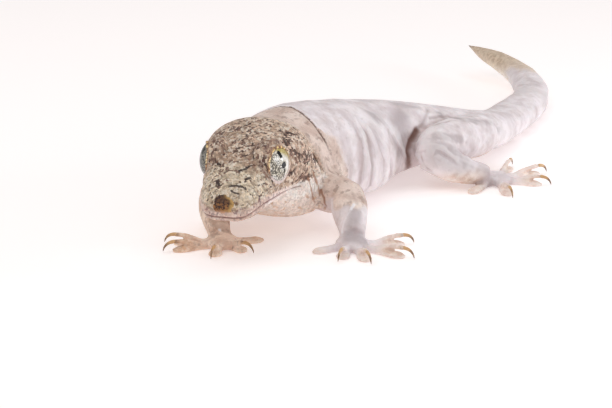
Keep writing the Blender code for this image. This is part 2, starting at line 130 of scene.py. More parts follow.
def wander(places, size, seed):
    """Soft irregular values from about -1 to 1 that vary over a size in millimetres."""
    draw = np.random.default_rng(seed)
    total = np.zeros(len(places))
    for _ in range(7):
        way = draw.normal(size=3)
        way *= math.tau / (np.linalg.norm(way) * size * draw.uniform(0.7, 1.6))
        total += np.sin(places @ way + draw.uniform(0, math.tau))
    return total / 3


def read_places(mesh):
    flat = np.empty(len(mesh.vertices) * 3, np.float32)
    mesh.vertices.foreach_get("co", flat)
    return (flat.reshape(-1, 3).astype(float) - np.array(ORIGIN)) / MM


def write_places(mesh, places):
    flat = places * MM + np.array(ORIGIN)
    mesh.vertices.foreach_set("co", flat.astype(np.float32).ravel())
    mesh.update()


def read_normals(mesh):
    flat = np.empty(len(mesh.vertices) * 3, np.float32)
    mesh.vertex_normals.foreach_get("vector", flat)
    return flat.reshape(-1, 3).astype(float)


def read_edges(mesh):
    flat = np.empty(len(mesh.edges) * 2, np.int32)
    mesh.edges.foreach_get("vertices", flat)
    return flat.reshape(-1, 2)


def average(values, edges, count):
    """For each vertex, the mean of its neighbours' values."""
    total = np.zeros_like(values)
    for k in range(values.shape[1]):
        total[:, k] = np.bincount(edges[:, 0], values[edges[:, 1], k], count)
        total[:, k] += np.bincount(edges[:, 1], values[edges[:, 0], k], count)
    links = np.bincount(edges.ravel(), minlength=count)
    return total / links[:, None]


def relax(places, edges, steps, strength):
    """Smooths places by moving each towards its neighbours."""
    for _ in range(steps):
        moved = average(places, edges, len(places)) - places
        places = places + moved * strength
    return places


def in_head(places):
    """Places in the head's own directions: back from the snout, left, and up."""
    from_snout = places - np.array(SNOUT)
    ways = (-FACING, HEAD_LEFT, HEAD_UP)
    return np.stack([from_snout @ np.array(way) for way in ways], axis=1)


def from_head(back, left, up):
    return SNOUT - FACING * back + HEAD_LEFT * left + HEAD_UP * up


def eye_frame(side):
    """An eye's middle, and its forward, upward and outward ways."""
    back, out, up = EYE_PLACE
    outward = (FACING * 0.30 + HEAD_LEFT * side * 0.93 + HEAD_UP * 0.16).normalized()
    forward = (FACING - outward * FACING.dot(outward)).normalized()
    upward = forward.cross(outward) * side
    return from_head(back, side * out, up), forward, upward, outward


def in_eye(places, side):
    """Places round an eye: forwards, upwards and outwards from its middle."""
    middle, *ways = eye_frame(side)
    from_middle = places - np.array(middle)
    return np.stack([from_middle @ np.array(way) for way in ways], axis=1)


def along_lip(head):
    """Distance along the lips from the snout's tip, less than 0 on the right side."""
    line = np.array(LIP_LINE, float)
    reach = np.linalg.norm(np.diff(line, axis=0), axis=1)
    at = np.concatenate([[0.0], np.cumsum(reach)])
    t = np.linspace(0, at[-1], 300)
    back = np.interp(t, at, line[:, 0])
    out = np.interp(t, at, line[:, 1])
    side = np.abs(head[:, 1])
    gap = (head[:, :1] - back) ** 2 + (side[:, None] - out) ** 2
    return np.sign(head[:, 1]) * t[gap.argmin(1)]


def from_mouth(head):
    """Height over the line of the mouth."""
    line = np.array(MOUTH_LINE)
    return head[:, 2] - np.interp(head[:, 0], line[:, 0], line[:, 1])


def from_line(places, points):
    """Distance from a line through points, or from a single point."""
    points = np.array(points, float)
    nearest = np.linalg.norm(places - points[0], axis=1)
    for one, two in zip(points[:-1], points[1:]):
        way = two - one
        share = np.clip((places - one) @ way / (way @ way), 0, 1)
        nearest = np.minimum(nearest, np.linalg.norm(places - one - share[:, None] * way, axis=1))
    return nearest


def strokes(places, marks, wider=1.0):
    """The strongest of some marks at each place: each is a width and the points of its line."""
    strongest = np.zeros(len(places))
    for width, *points in marks:
        strongest = np.maximum(strongest, hill(from_line(places, points), width * wider))
    return strongest


def from_palms(places):
    gaps = [np.hypot(places[:, 0] - x, places[:, 1] - y) for x, y in PALMS]
    return np.min(gaps, axis=0)


def from_own_palm(places):
    """Distance of each of a claw's places from the palm that it belongs to."""
    palm = min(PALMS, key=lambda p: np.hypot(*(places[:, :2].mean(0) - p)))
    return np.hypot(places[:, 0] - palm[0], places[:, 1] - palm[1])


# The skin's shape.


def merged_copy(name):
    """A CAD node's mesh with its loose triangles joined."""
    bm = bmesh.new()
    bm.from_mesh(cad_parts[name].data)
    bmesh.ops.remove_doubles(bm, verts=bm.verts, dist=1e-6)
    mesh = bpy.data.meshes.new(name + " copy")
    bm.to_mesh(mesh)
    bm.free()
    return mesh


def shown_mesh(thing):
    """What an object's modifiers make of it, as a plain mesh, with the object then removed."""
    graph = bpy.context.evaluated_depsgraph_get()
    mesh = bpy.data.meshes.new_from_object(thing.evaluated_get(graph))
    old = thing.data
    bpy.data.objects.remove(thing)
    bpy.data.meshes.remove(old)
    return mesh


def new_object(name, mesh):
    thing = bpy.data.objects.new(name, mesh)
    bpy.context.scene.collection.objects.link(thing)
    return thing


def one_surface():
    """All the flesh as one closed surface of even little squares.

    Each node is first made a little fatter, so that it meets its neighbours.
    """
    bm = bmesh.new()
    for name in FLESH:
        copy = merged_copy(name)
        write_places(copy, read_places(copy) + read_normals(copy) * SWELL)
        bm.from_mesh(copy)
        bpy.data.meshes.remove(copy)
    mesh = bpy.data.meshes.new("flesh")
    bm.to_mesh(mesh)
    bm.free()
    thing = new_object("flesh", mesh)
    even = thing.modifiers.new("even squares", "REMESH")
    even.mode = "VOXEL"
    even.voxel_size = SKIN_VOXEL * MM
    return shown_mesh(thing)


def drop_bubbles(mesh):
    """Removes the small closed hollows that the even squares leave between nodes."""
    edges = read_edges(mesh)
    group = np.arange(len(mesh.vertices))
    settled = False
    while not settled:
        lowest = np.minimum(group[edges[:, 0]], group[edges[:, 1]])
        joined = group.copy()
        np.minimum.at(joined, edges[:, 0], lowest)
        np.minimum.at(joined, edges[:, 1], lowest)
        joined = joined[joined]
        settled = np.array_equal(joined, group)
        group = joined
    main = np.bincount(group).argmax()
    bm = bmesh.new()
    bm.from_mesh(mesh)
    loose = [v for v in bm.verts if group[v.index] != main]
    bmesh.ops.delete(bm, geom=loose, context="VERTS")
    bm.to_mesh(mesh)
    bm.free()


def refine_head(mesh):
    """Halves the squares over the head, for its lids, lips and folds."""
    bm = bmesh.new()
    bm.from_mesh(mesh)
    places = read_places(mesh)
    near = in_head(places)[:, 0] < 41.0
    near &= from_palms(places) > 13.0
    bm.verts.ensure_lookup_table()
    lines = [e for e in bm.edges if near[e.verts[0].index] and near[e.verts[1].index]]
    bmesh.ops.subdivide_edges(bm, edges=lines, cuts=1, use_grid_fill=True)
    bm.to_mesh(mesh)
    bm.free()


def round_off(mesh):
    """Smooths the surface, most on the trunk and least on the toes, and takes the swelling off."""
    places = read_places(mesh)
    edges = read_edges(mesh)
    thick = np.maximum(ease(from_palms(places), 17.0, 24.0), 0.4 * ease(places[:, 2], 4.2, 6.5))
    thick = np.maximum(thick, 0.45 * ease(from_palms(places), 10, 5) * ease(places[:, 2], 2.4, 3.4))
    thick *= ease(places[:, 1], 236, 170)
    head = in_head(places)
    thick *= 1 - 0.55 * ease(head[:, 0], 44, 38)
    for side in (1, -1):
        around = in_eye(places, side)
        thick *= ease(np.linalg.norm(around, axis=1), 7.0, 9.5)
    soft = (0.05 + 0.55 * thick)[:, None]
    places = relax(places, edges, 60, soft)
    write_places(mesh, places)
    shrink = 0.10 * (1 - thick)
    return places - read_normals(mesh) * (SWELL - shrink)[:, None]


def lid_folds(places, normals, height):
    """Draws the skin up to a thin rim on each eye's ball, with soft folds outside it."""
    for side in (1, -1):
        around = in_eye(places, side)
        middle, forward, upward, outward = (np.array(v) for v in eye_frame(side))
        out = np.maximum(np.hypot(around[:, 0], around[:, 1]), 0.1)
        away = (around[:, :1] * forward + around[:, 1:2] * upward) / out[:, None]
        over = around[:, 1] / out
        ahead = around[:, 0] / out
        tight = ease(around[:, 2], 1.0, 1.8) * ease(out, 7.2, 6.0)
        places -= ((0.74 - 0.10 * ahead) * tight)[:, None] * away
        places += (0.10 * tight)[:, None] * outward
        around = in_eye(places, side)
        depth = np.linalg.norm(around / (EYE_RADIUS, EYE_RADIUS, EYE_THICKNESS), axis=1)
        outer = ease(np.einsum("ij,ij->i", normals, away + 0.6 * outward), 0.0, 0.5)
        outer *= ease(np.abs(depth - 1), 0.5, 0.3)
        lift = np.maximum(1.035 / np.maximum(depth, 0.3) - 1, 0) * outer
        places += lift[:, None] * (places - middle)
        out = np.hypot(around[:, 0], around[:, 1])
        front = ease(around[:, 2], -0.8, 0.6) * ease(out, 12.0, 9.0)
        groove = hill(out - 6.15, 0.36) * (0.26 + 0.12 * over)
        fold = hill(out - 7.0, 0.62) * (0.24 + 0.16 * over + 0.08 * ahead)
        second = hill(out - 8.0, 0.40) * (0.16 + 0.12 * over)
        height += front * (fold - groove - second)


def lip_scales(head, height):
    """The line of the mouth, and the row of plates on each lip."""
    over = from_mouth(head)
    along = along_lip(head)
    mouth = ease(head[:, 0], MOUTH_END + 2, MOUTH_END - 1.5) * ease(np.abs(over), 4, 3)
    mouth *= ease(head[:, 0], -6, -2)
    height -= mouth * 0.55 * hill(over, 0.24)
    height += mouth * 0.14 * hill(over - 0.95, 0.7)
    height += mouth * 0.10 * hill(over + 0.95, 0.7)
    height -= mouth * 0.07 * hill(over - 1.95, 0.22)
    height -= mouth * 0.06 * hill(over + 2.0, 0.22)
    plate = np.abs(along) / 1.95 + 0.42
    seam = hill(plate - np.round(plate), 0.085) * (np.abs(along) > 0.9)
    row = ease(np.abs(over), 0.15, 0.4) * ease(np.abs(over), 2.0, 1.8)
    height -= mouth * 0.07 * seam * row
    corner = hill(head[:, 0] - MOUTH_END - 0.3, 0.5) * hill(over + 0.4, 1.5)
    height -= 0.35 * corner


def from_nostril(head, side):
    return np.linalg.norm(head - (0.9, side * 3.5, 2.7), axis=1)


def face_pits(places, head, height):
    """Nostrils, the ears' slits with the fold before them, and the crust on the snout's tip."""
    for side in (1, -1):
        nostril = from_nostril(head, side)
        height -= 0.75 * hill(nostril, 0.42)
        height += 0.16 * hill(nostril - 0.95, 0.35)
        on_side = ease(head[:, 1] * side, 8, 11)
        slit = np.hypot((head[:, 0] - 38.9) / 0.65, (head[:, 2] + 3.4) / 3.2)
        height -= on_side * 1.1 * hill(slit, 1.0)
        before = hill(head[:, 0] - 37.0, 1.1) * ease(head[:, 2], -13, -8) * ease(head[:, 2], 5, 0)
        height += on_side * 0.26 * before
    rough = wander(places, 1.5, 3) + 0.6 * wander(places, 0.7, 4)
    height += ease(from_crust(head, places), 3.0, 2.4) * (0.30 + 0.17 * rough)
    height += 0.10 * strokes(head, SNOUT_SWELLS)


def skin_folds(places, head, height):
    """The creases of neck, flanks and tail, and the loose skin's slack."""
    x, y, z = places.T
    sway = 0.5 * wander(places, 9, 11)
    clear = ease(from_palms(places), 15, 20)
    for at, lean, deep in ((2.6, 0.02, 0.40), (5.4, 0.10, 0.55), (8.8, 0.12, 0.50), (13.0, 0.16, 0.34)):
        low = ease(z, 21, 15) * ease(z, 3, 6)
        trough = y - at - lean * (z - 12) - sway
        height += clear * low * deep * (0.6 * hill(trough - 1.0, 0.8) - hill(trough, 0.42))
    flank = ease(z, 29.5, 25) * ease(z, 2, 6) * ease(np.abs(x - 4), 8, 12) * clear
    for at, lean, deep in (
        (27.0, 0.22, 0.30),
        (32.6, 0.19, 0.66),
        (37.0, 0.06, 0.72),
        (41.4, -0.15, 0.40),
        (45.0, -0.45, 0.44),
        (54.0, -0.70, 0.40),
    ):
        trough = y - at - lean * (z - 17) - 0.006 * (z - 17) ** 2 - 0.7 * sway
        height += flank * deep * (0.7 * hill(trough - 1.5, 1.1) - hill(trough, 0.75))
    limp = ease(y, 22, 34)
    height += 0.10 * limp * wander(places, 5.5, 5) + 0.05 * limp * wander(places, 2.2, 6)
    on_tail = ease(y, 104, 118) * ease(y, 236, 200)
    ring = np.sin((y + 0.35 * x) / 3.4 * math.tau + 0.6 * wander(places, 12, 8))
    height += 0.05 * on_tail * ring
    height -= 0.7 * strokes(places, CREASES, 1.3) + 0.22 * strokes(places, THIN_CREASES)
    height += 0.16 * strokes(places, SKIN_HEMS)


def from_crust(head, places):
    """Distance from the middle of the dried crust on the snout's tip, with an uneven edge."""
    reach = np.linalg.norm((head - (0.8, -0.2, 2.5)) * (0.8, 0.95, 1.1), axis=1)
    return reach + 0.28 * wander(places, 2.4, 31)


def moult_step(places, height):
    """Where the old skin ends behind the neck, its thin edge stands proud over a groove."""
    past, crisp = moult_edge(places)
    height += crisp * (0.22 * hill(past - 0.8, 0.7) - 0.30 * hill(past, 0.42))


def moult_edge(places):
    """Distance past the edge of the old skin behind the neck, and how crisp that edge is."""
    x, y, z = places.T
    edge = np.array(NECK_EDGE)
    past = y - np.interp(x, edge[:, 0], edge[:, 1]) - 0.15 * wander(places, 3.1, 22)
    return past, ease(z, 20, 26) * ease(np.abs(past), 12, 8)


def worn_skin(places, arm_left, arm_right):
    """1 where the old skin still covers the body, with soft edges low on the neck and on the tail."""
    x, y, z = places.T
    past, _ = moult_edge(places)
    soft = 0.3 + 4.0 * ease(z, 29, 23) + 1.5 * ease(z, 18, 12)
    trunk = ease(past - soft, -soft, soft) * (1 - arm_right)
    level = 10.0 + 2.2 * wander(places, 6, 23)
    sleeve = arm_left * ease(z - level, 4.5, -4.5)
    return np.maximum(trunk * (1 - arm_left * ease(z - level, -4.5, 4.5)), sleeve) * (1 - bare_tail(places))


def bare_tail(places):
    """1 where the tail's end has lost its old skin."""
    x, y, _ = places.T
    return ease(y + 2.0 * wander(places, 11, 24) + 0.35 * x, TAIL_EDGE, TAIL_EDGE + 22)


def shape_skin(mesh):
    places = round_off(mesh)
    write_places(mesh, places)
    head = in_head(places)
    height = np.zeros(len(places))
    lid_folds(places, read_normals(mesh), height)
    lip_scales(head, height)
    face_pits(places, head, height)
    skin_folds(places, head, height)
    moult_step(places, height)
    places += read_normals(mesh) * height[:, None]
    places[:, 2] = np.maximum(places[:, 2], 0.0)
    write_places(mesh, places)


def thin_out(mesh):
    """A copy of the skin with fewer triangles, shaded as the full skin is."""
    thing = new_object("thinner skin", mesh.copy())
    places = read_places(mesh)
    plain = ease(in_head(places)[:, 0], 38, 46) * ease(from_palms(places), 16, 24)
    past, crisp = moult_edge(places)
    fine_lines = strokes(places, CREASES + THIN_CREASES + SKIN_HEMS, 3.0)
    plain *= 1 - np.maximum(crisp * hill(past, 2.0), fine_lines)
    weight = 0.5 + 0.5 * plain
    group = thing.vertex_groups.new(name="plain")
    for level in np.unique(np.round(weight, 1)):
        chosen = np.flatnonzero(np.round(weight, 1) == level)
        group.add(chosen.tolist(), float(level), "REPLACE")
    mesh.calc_loop_triangles()
    fewer = thing.modifiers.new("fewer", "DECIMATE")
    fewer.ratio = min(1.0, SKIN_TRIANGLES / len(mesh.loop_triangles))
    fewer.vertex_group = group.name
    fewer.use_collapse_triangulate = True
    thin = shown_mesh(thing)
    tree = KDTree(len(places))
    for number, place in enumerate(places):
        tree.insert(place, number)
    tree.balance()
    return thin, np.array([tree.find(place)[1] for place in read_places(thin)])


def attribute(mesh, name, *numbers):
    """Keeps three numbers at each vertex for the materials to read."""
    made = mesh.attributes.new(name, "FLOAT_VECTOR", "POINT")
    made.data.foreach_set("vector", np.stack(numbers, axis=1).astype(np.float32).ravel())


# Dark lines on the head: half of the width, then places back, left and up.
FACE_LINES = (
    (0.62, (15.3, 8.4, 7.4), (14.7, 6.2, 7.3), (14.4, 5.0, 7.4), (13.4, 3.9, 7.6)),
    (0.50, (13.4, 3.9, 7.6), (11.7, 3.2, 7.5), (10.7, 1.8, 7.5)),
    (0.58, (4.3, 0.7, 6.1), (4.9, 2.2, 6.1), (5.3, 4.0, 5.6), (5.0, 4.9, 5.1)),
    (0.46, (2.9, 1.6, 5.5), (2.6, 2.6, 5.2), (2.8, 3.8, 4.8)),
    (0.30, (6.9, 5.8, 5.1), (9.0, 7.5, 4.3), (11.4, 8.5, 3.7)),
    (0.42, (22.3, 2.5, 9.8), (19.0, 3.4, 10.4), (16.1, 4.3, 9.6), (15.3, 4.9, 8.8)),
    (0.75, (14.8, -6.6, 7.4), (13.9, -5.4, 7.1), (13.2, -4.4, 7.4)),
    (0.62, (4.6, -2.4, 6.1), (6.2, -3.2, 6.1)),
    (0.55, (8.2, 4.2, 6.5), (9.2, 5.0, 6.3)),
    (0.46, (14.4, 8.8, 6.2), (14.5, 8.1, 8.3), (16.3, 6.8, 9.4)),
    (0.40, (14.3, 9.7, 2.6), (14.4, 8.8, 6.2)),
    (0.30, (32.2, 9.0, 8.4), (33.5, 9.9, 7.9), (33.8, 11.0, 7.3), (35.1, 12.0, 6.3)),
    (0.26, (28.1, 10.0, 7.6), (29.6, 9.9, 7.8), (30.6, 11.0, 7.1)),
    (0.26, (22.1, 12.1, 1.1), (24.2, 12.8, 0.5), (25.6, 13.3, 1.0)),
)
# Dark patches on the head, in the same way.
FACE_PATCHES = (
    (0.7, (6.0, -3.0, 6.2)),
    (0.6, (8.4, 4.3, 6.3)),
    (0.5, (4.7, 6.1, 4.1)),
    (0.5, (7.3, 7.8, 3.2)),
    (0.6, (10.3, 8.9, 2.6)),
    (1.2, (14.8, -6.4, 7.5), (13.2, -4.6, 7.5)),
    (0.9, (13.8, -1.6, 8.2)),
    (0.6, (10.1, 1.5, 7.4)),
    (1.7, (28.8, -8.8, 8.3)),
    (1.0, (16.7, -3.8, 9.9), (18.5, -5.4, 11.2)),
    (0.8, (19.3, -2.7, 9.7), (18.3, -1.4, 9.3)),
    (0.8, (22.2, -3.0, 9.7)),
    (1.0, (31.9, -1.6, 10.3)),
    (1.0, (29.0, -3.7, 10.1), (31.2, -5.9, 9.6)),
    (0.8, (27.9, 2.5, 10.3)),
    (0.9, (20.0, 4.8, 11.5), (19.8, 3.8, 11.0)),
    (0.7, (16.6, 1.5, 8.9)),
    (1.3, (32.2, 9.0, 8.4), (33.8, 11.0, 7.3), (35.1, 12.0, 6.3)),
    (1.2, (28.1, 10.0, 7.6), (30.6, 11.0, 7.1)),
    (1.5, (27.4, 12.2, 5.2), (28.9, 13.7, 3.6), (33.0, 15.1, 1.2), (36.4, 15.5, -1.4)),
    (1.1, (27.0, 13.4, 3.0), (31.5, 15.2, 0.3)),
    (1.7, (28.3, 13.9, -3.0), (31.4, 15.1, -5.4)),
    (0.8, (22.1, 12.1, 1.1), (25.3, 13.2, 0.0)),
    (0.5, (16.9, 10.6, 0.7)),
    (0.5, (21.8, 11.8, -1.2)),
    (2.0, (31.0, -10.4, 7.8)),
    (1.5, (27.4, -12.2, 5.2), (33.0, -15.1, 1.2), (36.4, -15.5, -1.4)),
    (1.7, (28.3, -13.9, -3.0), (31.4, -15.1, -5.4)),
    (0.8, (22.1, -12.1, 1.1), (25.3, -13.2, 0.0)),
)
# Low swellings over the snout's bones.
SNOUT_SWELLS = (
    (1.5, (5.5, 5.2, 4.6), (12.0, 7.4, 5.4)),
    (1.5, (5.5, -5.2, 4.6), (12.0, -7.4, 5.4)),
)

# Deep creases on the body and thin ones, cut into the skin and darkened with painted shade, and pale hems
# of lifted old skin, in working places.
CREASES = (
    (0.8, (25.4, 66.6, 16.7), (24.5, 62.8, 14.1), (24.4, 61.2, 11.2), (24.6, 62.4, 7.8), (24.2, 64.9, 4.4)),
    (0.6, (14.6, 27.0, 12.6), (17.4, 23.4, 8.0)),
)
THIN_CREASES = (
    (0.7, (26.2, 77.4, 21.4), (26.7, 70.3, 18.5), (25.4, 66.6, 16.7)),
    (0.5, (29.9, 56.3, 11.9), (33.2, 56.6, 6.6)),
    (0.5, (14.3, 8.3, 12.3), (15.5, 7.6, 10.3), (15.9, 8.0, 7.8)),
    (0.6, (27.8, 74.2, 19.3), (31.8, 81.3, 18.6), (38.5, 83.9, 18.6), (42.0, 92.0, 15.0)),
    (0.5, (31.0, 66.0, 19.4), (35.0, 72.0, 19.4), (39.5, 77.0, 17.6)),
    (0.5, (24.6, 5.6, 13.2), (27.0, 2.6, 11.0)),
    (0.5, (25.2, -0.6, 3.6), (28.0, 0.6, 5.2), (31.0, 0.2, 4.0)),
    (0.5, (-12.6, -9.6, 3.6), (-9.6, -8.6, 5.2), (-6.6, -10.6, 4.0)),
)
SKIN_HEMS = (
    (0.70, (26.6, 1.4, 11.3), (26.4, 0.3, 10.5), (25.6, -3.0, 7.4), (25.2, -4.8, 4.8)),
    (0.60, (-11.2, -13.3, 5.2), (-9.2, -13.8, 4.8), (-6.6, -14.6, 4.4)),
)
# Thin orange-brown folds at the throat and the arm, and darker patches on the old skin: painted shade on
# the flank by the groin, the legs, the left forearm and hand, and darker patches on the back.
ORANGE_FOLDS = (
    (0.55, (14.3, 8.3, 12.3), (15.5, 7.6, 10.3), (15.9, 8.0, 7.8), (15.0, 8.6, 6.0)),
    (0.50, (12.1, 3.3, 17.1), (12.7, 4.1, 13.3), (12.9, 6.1, 9.2)),
    (0.50, (12.7, 5.9, 18.2), (13.5, 7.1, 14.4), (14.1, 8.1, 10.6), (13.1, 10.1, 6.3)),
)
SHADED = (
    (3.0, (16.0, 46.0, 26.4), (16.8, 50.0, 25.7)),
    (2.6, (20.5, 60.0, 23.2), (21.3, 63.9, 22.2)),
    (2.4, (18.0, 68.0, 23.6), (22.0, 74.0, 21.6)),
    (4.5, (21.6, 61.7, 21.1), (23.0, 57.5, 14.5)),
    (3.6, (35.0, 56.5, 12.5), (40.1, 60.0, 10.9)),
    (3.6, (45.0, 63.0, 4.7), (48.4, 66.3, 3.6)),
    (2.0, (27.6, -0.4, 9.2), (27.8, -3.4, 6.4)),
    (1.5, (29.7, 79.1, 19.6), (37.2, 76.2, 19.3), (42.4, 81.6, 17.2), (45.4, 102.0, 10.9)),
    (1.7, (33.7, 60.8, 17.2), (37.8, 62.2, 16.6), (39.9, 67.6, 15.1)),
    (4.4, (36.2, 56.6, 13.4), (41.9, 60.8, 10.2)),
    (3.6, (43.0, 60.5, 7.2), (48.9, 67.1, 0.8)),
    (2.6, (28.0, -6.0, 4.0), (31.0, -5.0, 3.6)),
)
# Brown patches on the right arm.
ARM_PATCHES = (
    (2.6, (-10.2, -13.4, 7.4), (-6.4, -12.4, 4.6)),
    (1.6, (-12.0, -11.0, 11.0), (-11.0, -12.4, 9.0)),
)


def hollows(mesh):
    """How far each place lies under its surroundings, in millimetres, for painted shade in hollows and
    painted light on ridges.
    """
    places = read_places(mesh)
    smooth = relax(places, read_edges(mesh), 30, 0.7)
    return np.einsum("ij,ij->i", smooth - places, read_normals(mesh))


def share_of(places, edges, names):
    """1 on the skin of some nodes and 0 on the skin of the others, with soft edges between."""
    spots = [(name in names, read_places(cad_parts[name].data)) for name in FLESH]
    tree = KDTree(sum(len(found) for _, found in spots))
    chosen = []
    for inside, found in spots:
        for place in found:
            tree.insert(place, len(chosen))
            chosen.append(float(inside))
    tree.balance()
    share = np.array([[chosen[tree.find(place)[1]]] for place in places])
    return relax(share, edges, 14, 0.7)[:, 0]


def claw_roots():
    """Where each claw leaves its toe."""
    roots = []
    for name in CLAWS:
        places = read_places(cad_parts[name].data)
        gap = from_own_palm(places)
        roots.append(places[gap < gap.min() + 0.6].mean(0))
    return roots


def mark_skin(mesh, cavity):
    """Keeps what the skin's material needs to know about each place."""
    places = read_places(mesh)
    edges = read_edges(mesh)
    head = in_head(places)
    back, left, up = head.T
    over = from_mouth(head)
    face = share_of(places, edges, ("head", "lower_jaw"))
    lengths = ("upper_arm", "forearm", "hand")
    arms = [share_of(places, edges, [part + side for part in lengths]) for side in ("_left", "_right")]
    on_head = ease(back, 45, 38) * face
    cheek = ease(over, 3.4, -0.5) * ease(back, 3, 15)
    cheek = np.maximum(cheek, ease(over, 1.8, 0.6) * ease(back, 12, 22))
    jaw_angle = hill(back - 37.0, 1.9) * ease(up, 3, -2) * ease(np.abs(left), 8, 12)
    belly = ease(places[:, 2], 9, 4) * ease(from_palms(places), 16, 22)
    pale = np.clip(np.maximum(np.maximum(cheek, 0.5 * jaw_angle) * on_head, belly), 0, 1)
    snout = ease(back, 22, 6) * ease(up, -1.5, 3.5)
    crown = on_head * ease(up, 8.2, 10.0) * ease(back, 12, 18)
    patches = np.maximum(strokes(head, FACE_PATCHES), 0.25 * crown)
    attribute(mesh, "tint", patches, pale, snout)
    rims = np.stack([in_eye(places, side) for side in (1, -1)])
    reach = np.hypot(rims[:, :, 0], rims[:, :, 1]) + 20 * (rims[:, :, 2] < -2.5)
    near = reach.argmin(0)
    row = np.arange(len(near))
    attribute(mesh, "eye", reach.min(0), rims[near, row, 1], rims[near, row, 0])
    lines = strokes(head, FACE_LINES, 0.8)
    flush = ease(back, 20, 27) * ease(np.abs(left), 7, 12) * ease(up, -8, -2)
    attribute(mesh, "face", lines, flush, from_crust(head, places))
    past, crisp = moult_edge(places)
    attribute(mesh, "moult", worn_skin(places, *arms), cavity, np.clip(past, -4, 4))
    attribute(mesh, "lip", along_lip(head), over, back)
    toes = ease(from_palms(places), 5, 12) * ease(from_palms(places), 24, 19) * ease(places[:, 2], 8, 4)
    nostril = np.minimum(from_nostril(head, 1), from_nostril(head, -1))
    joint = np.max([hill(np.linalg.norm(places - root, axis=1), 2.2) for root in claw_roots()], axis=0)
    attribute(mesh, "limb", toes, nostril, joint)
    # Painted shade along the creases, drawn wider than their grooves.
    crease_shade = np.maximum(strokes(places, CREASES, 1.9), 0.42 * strokes(places, THIN_CREASES, 1.5))
    attribute(mesh, "body", crease_shade, strokes(places, SHADED, 1.2), strokes(places, SKIN_HEMS))
    calm = 1 - face * ease(back, 44, 38)
    tip = bare_tail(places)
    throat = face * ease(over, -2.0, -4.0) * ease(back, 14, 22)
    attribute(mesh, "zone", calm, tip * ease(places[:, 2], 6.5, 9.5), throat)
    attribute(mesh, "arm", arms[1], strokes(places, ARM_PATCHES), tip)
    attribute(mesh, "neck", crisp, strokes(places, ORANGE_FOLDS), hill(places[:, 1] - 12, 9) * calm)


# Shader maths.


class Value:
    """A socket in a material that Python's operators work on, by way of Math nodes."""

    def __init__(self, look, socket):
        self.look = look
        self.socket = socket

    def reckon(self, operation, *terms):
        return self.look.add("Math", {"operation": operation}, dict(enumerate(terms)))

    def __add__(self, other):
        return self.reckon("ADD", self, other)

    __radd__ = __add__

    def __sub__(self, other):
        return self.reckon("SUBTRACT", self, other)

    def __rsub__(self, other):
        return self.reckon("SUBTRACT", other, self)

    def __mul__(self, other):
        return self.reckon("MULTIPLY", self, other)

    __rmul__ = __mul__

    def __truediv__(self, other):
        return self.reckon("DIVIDE", self, other)


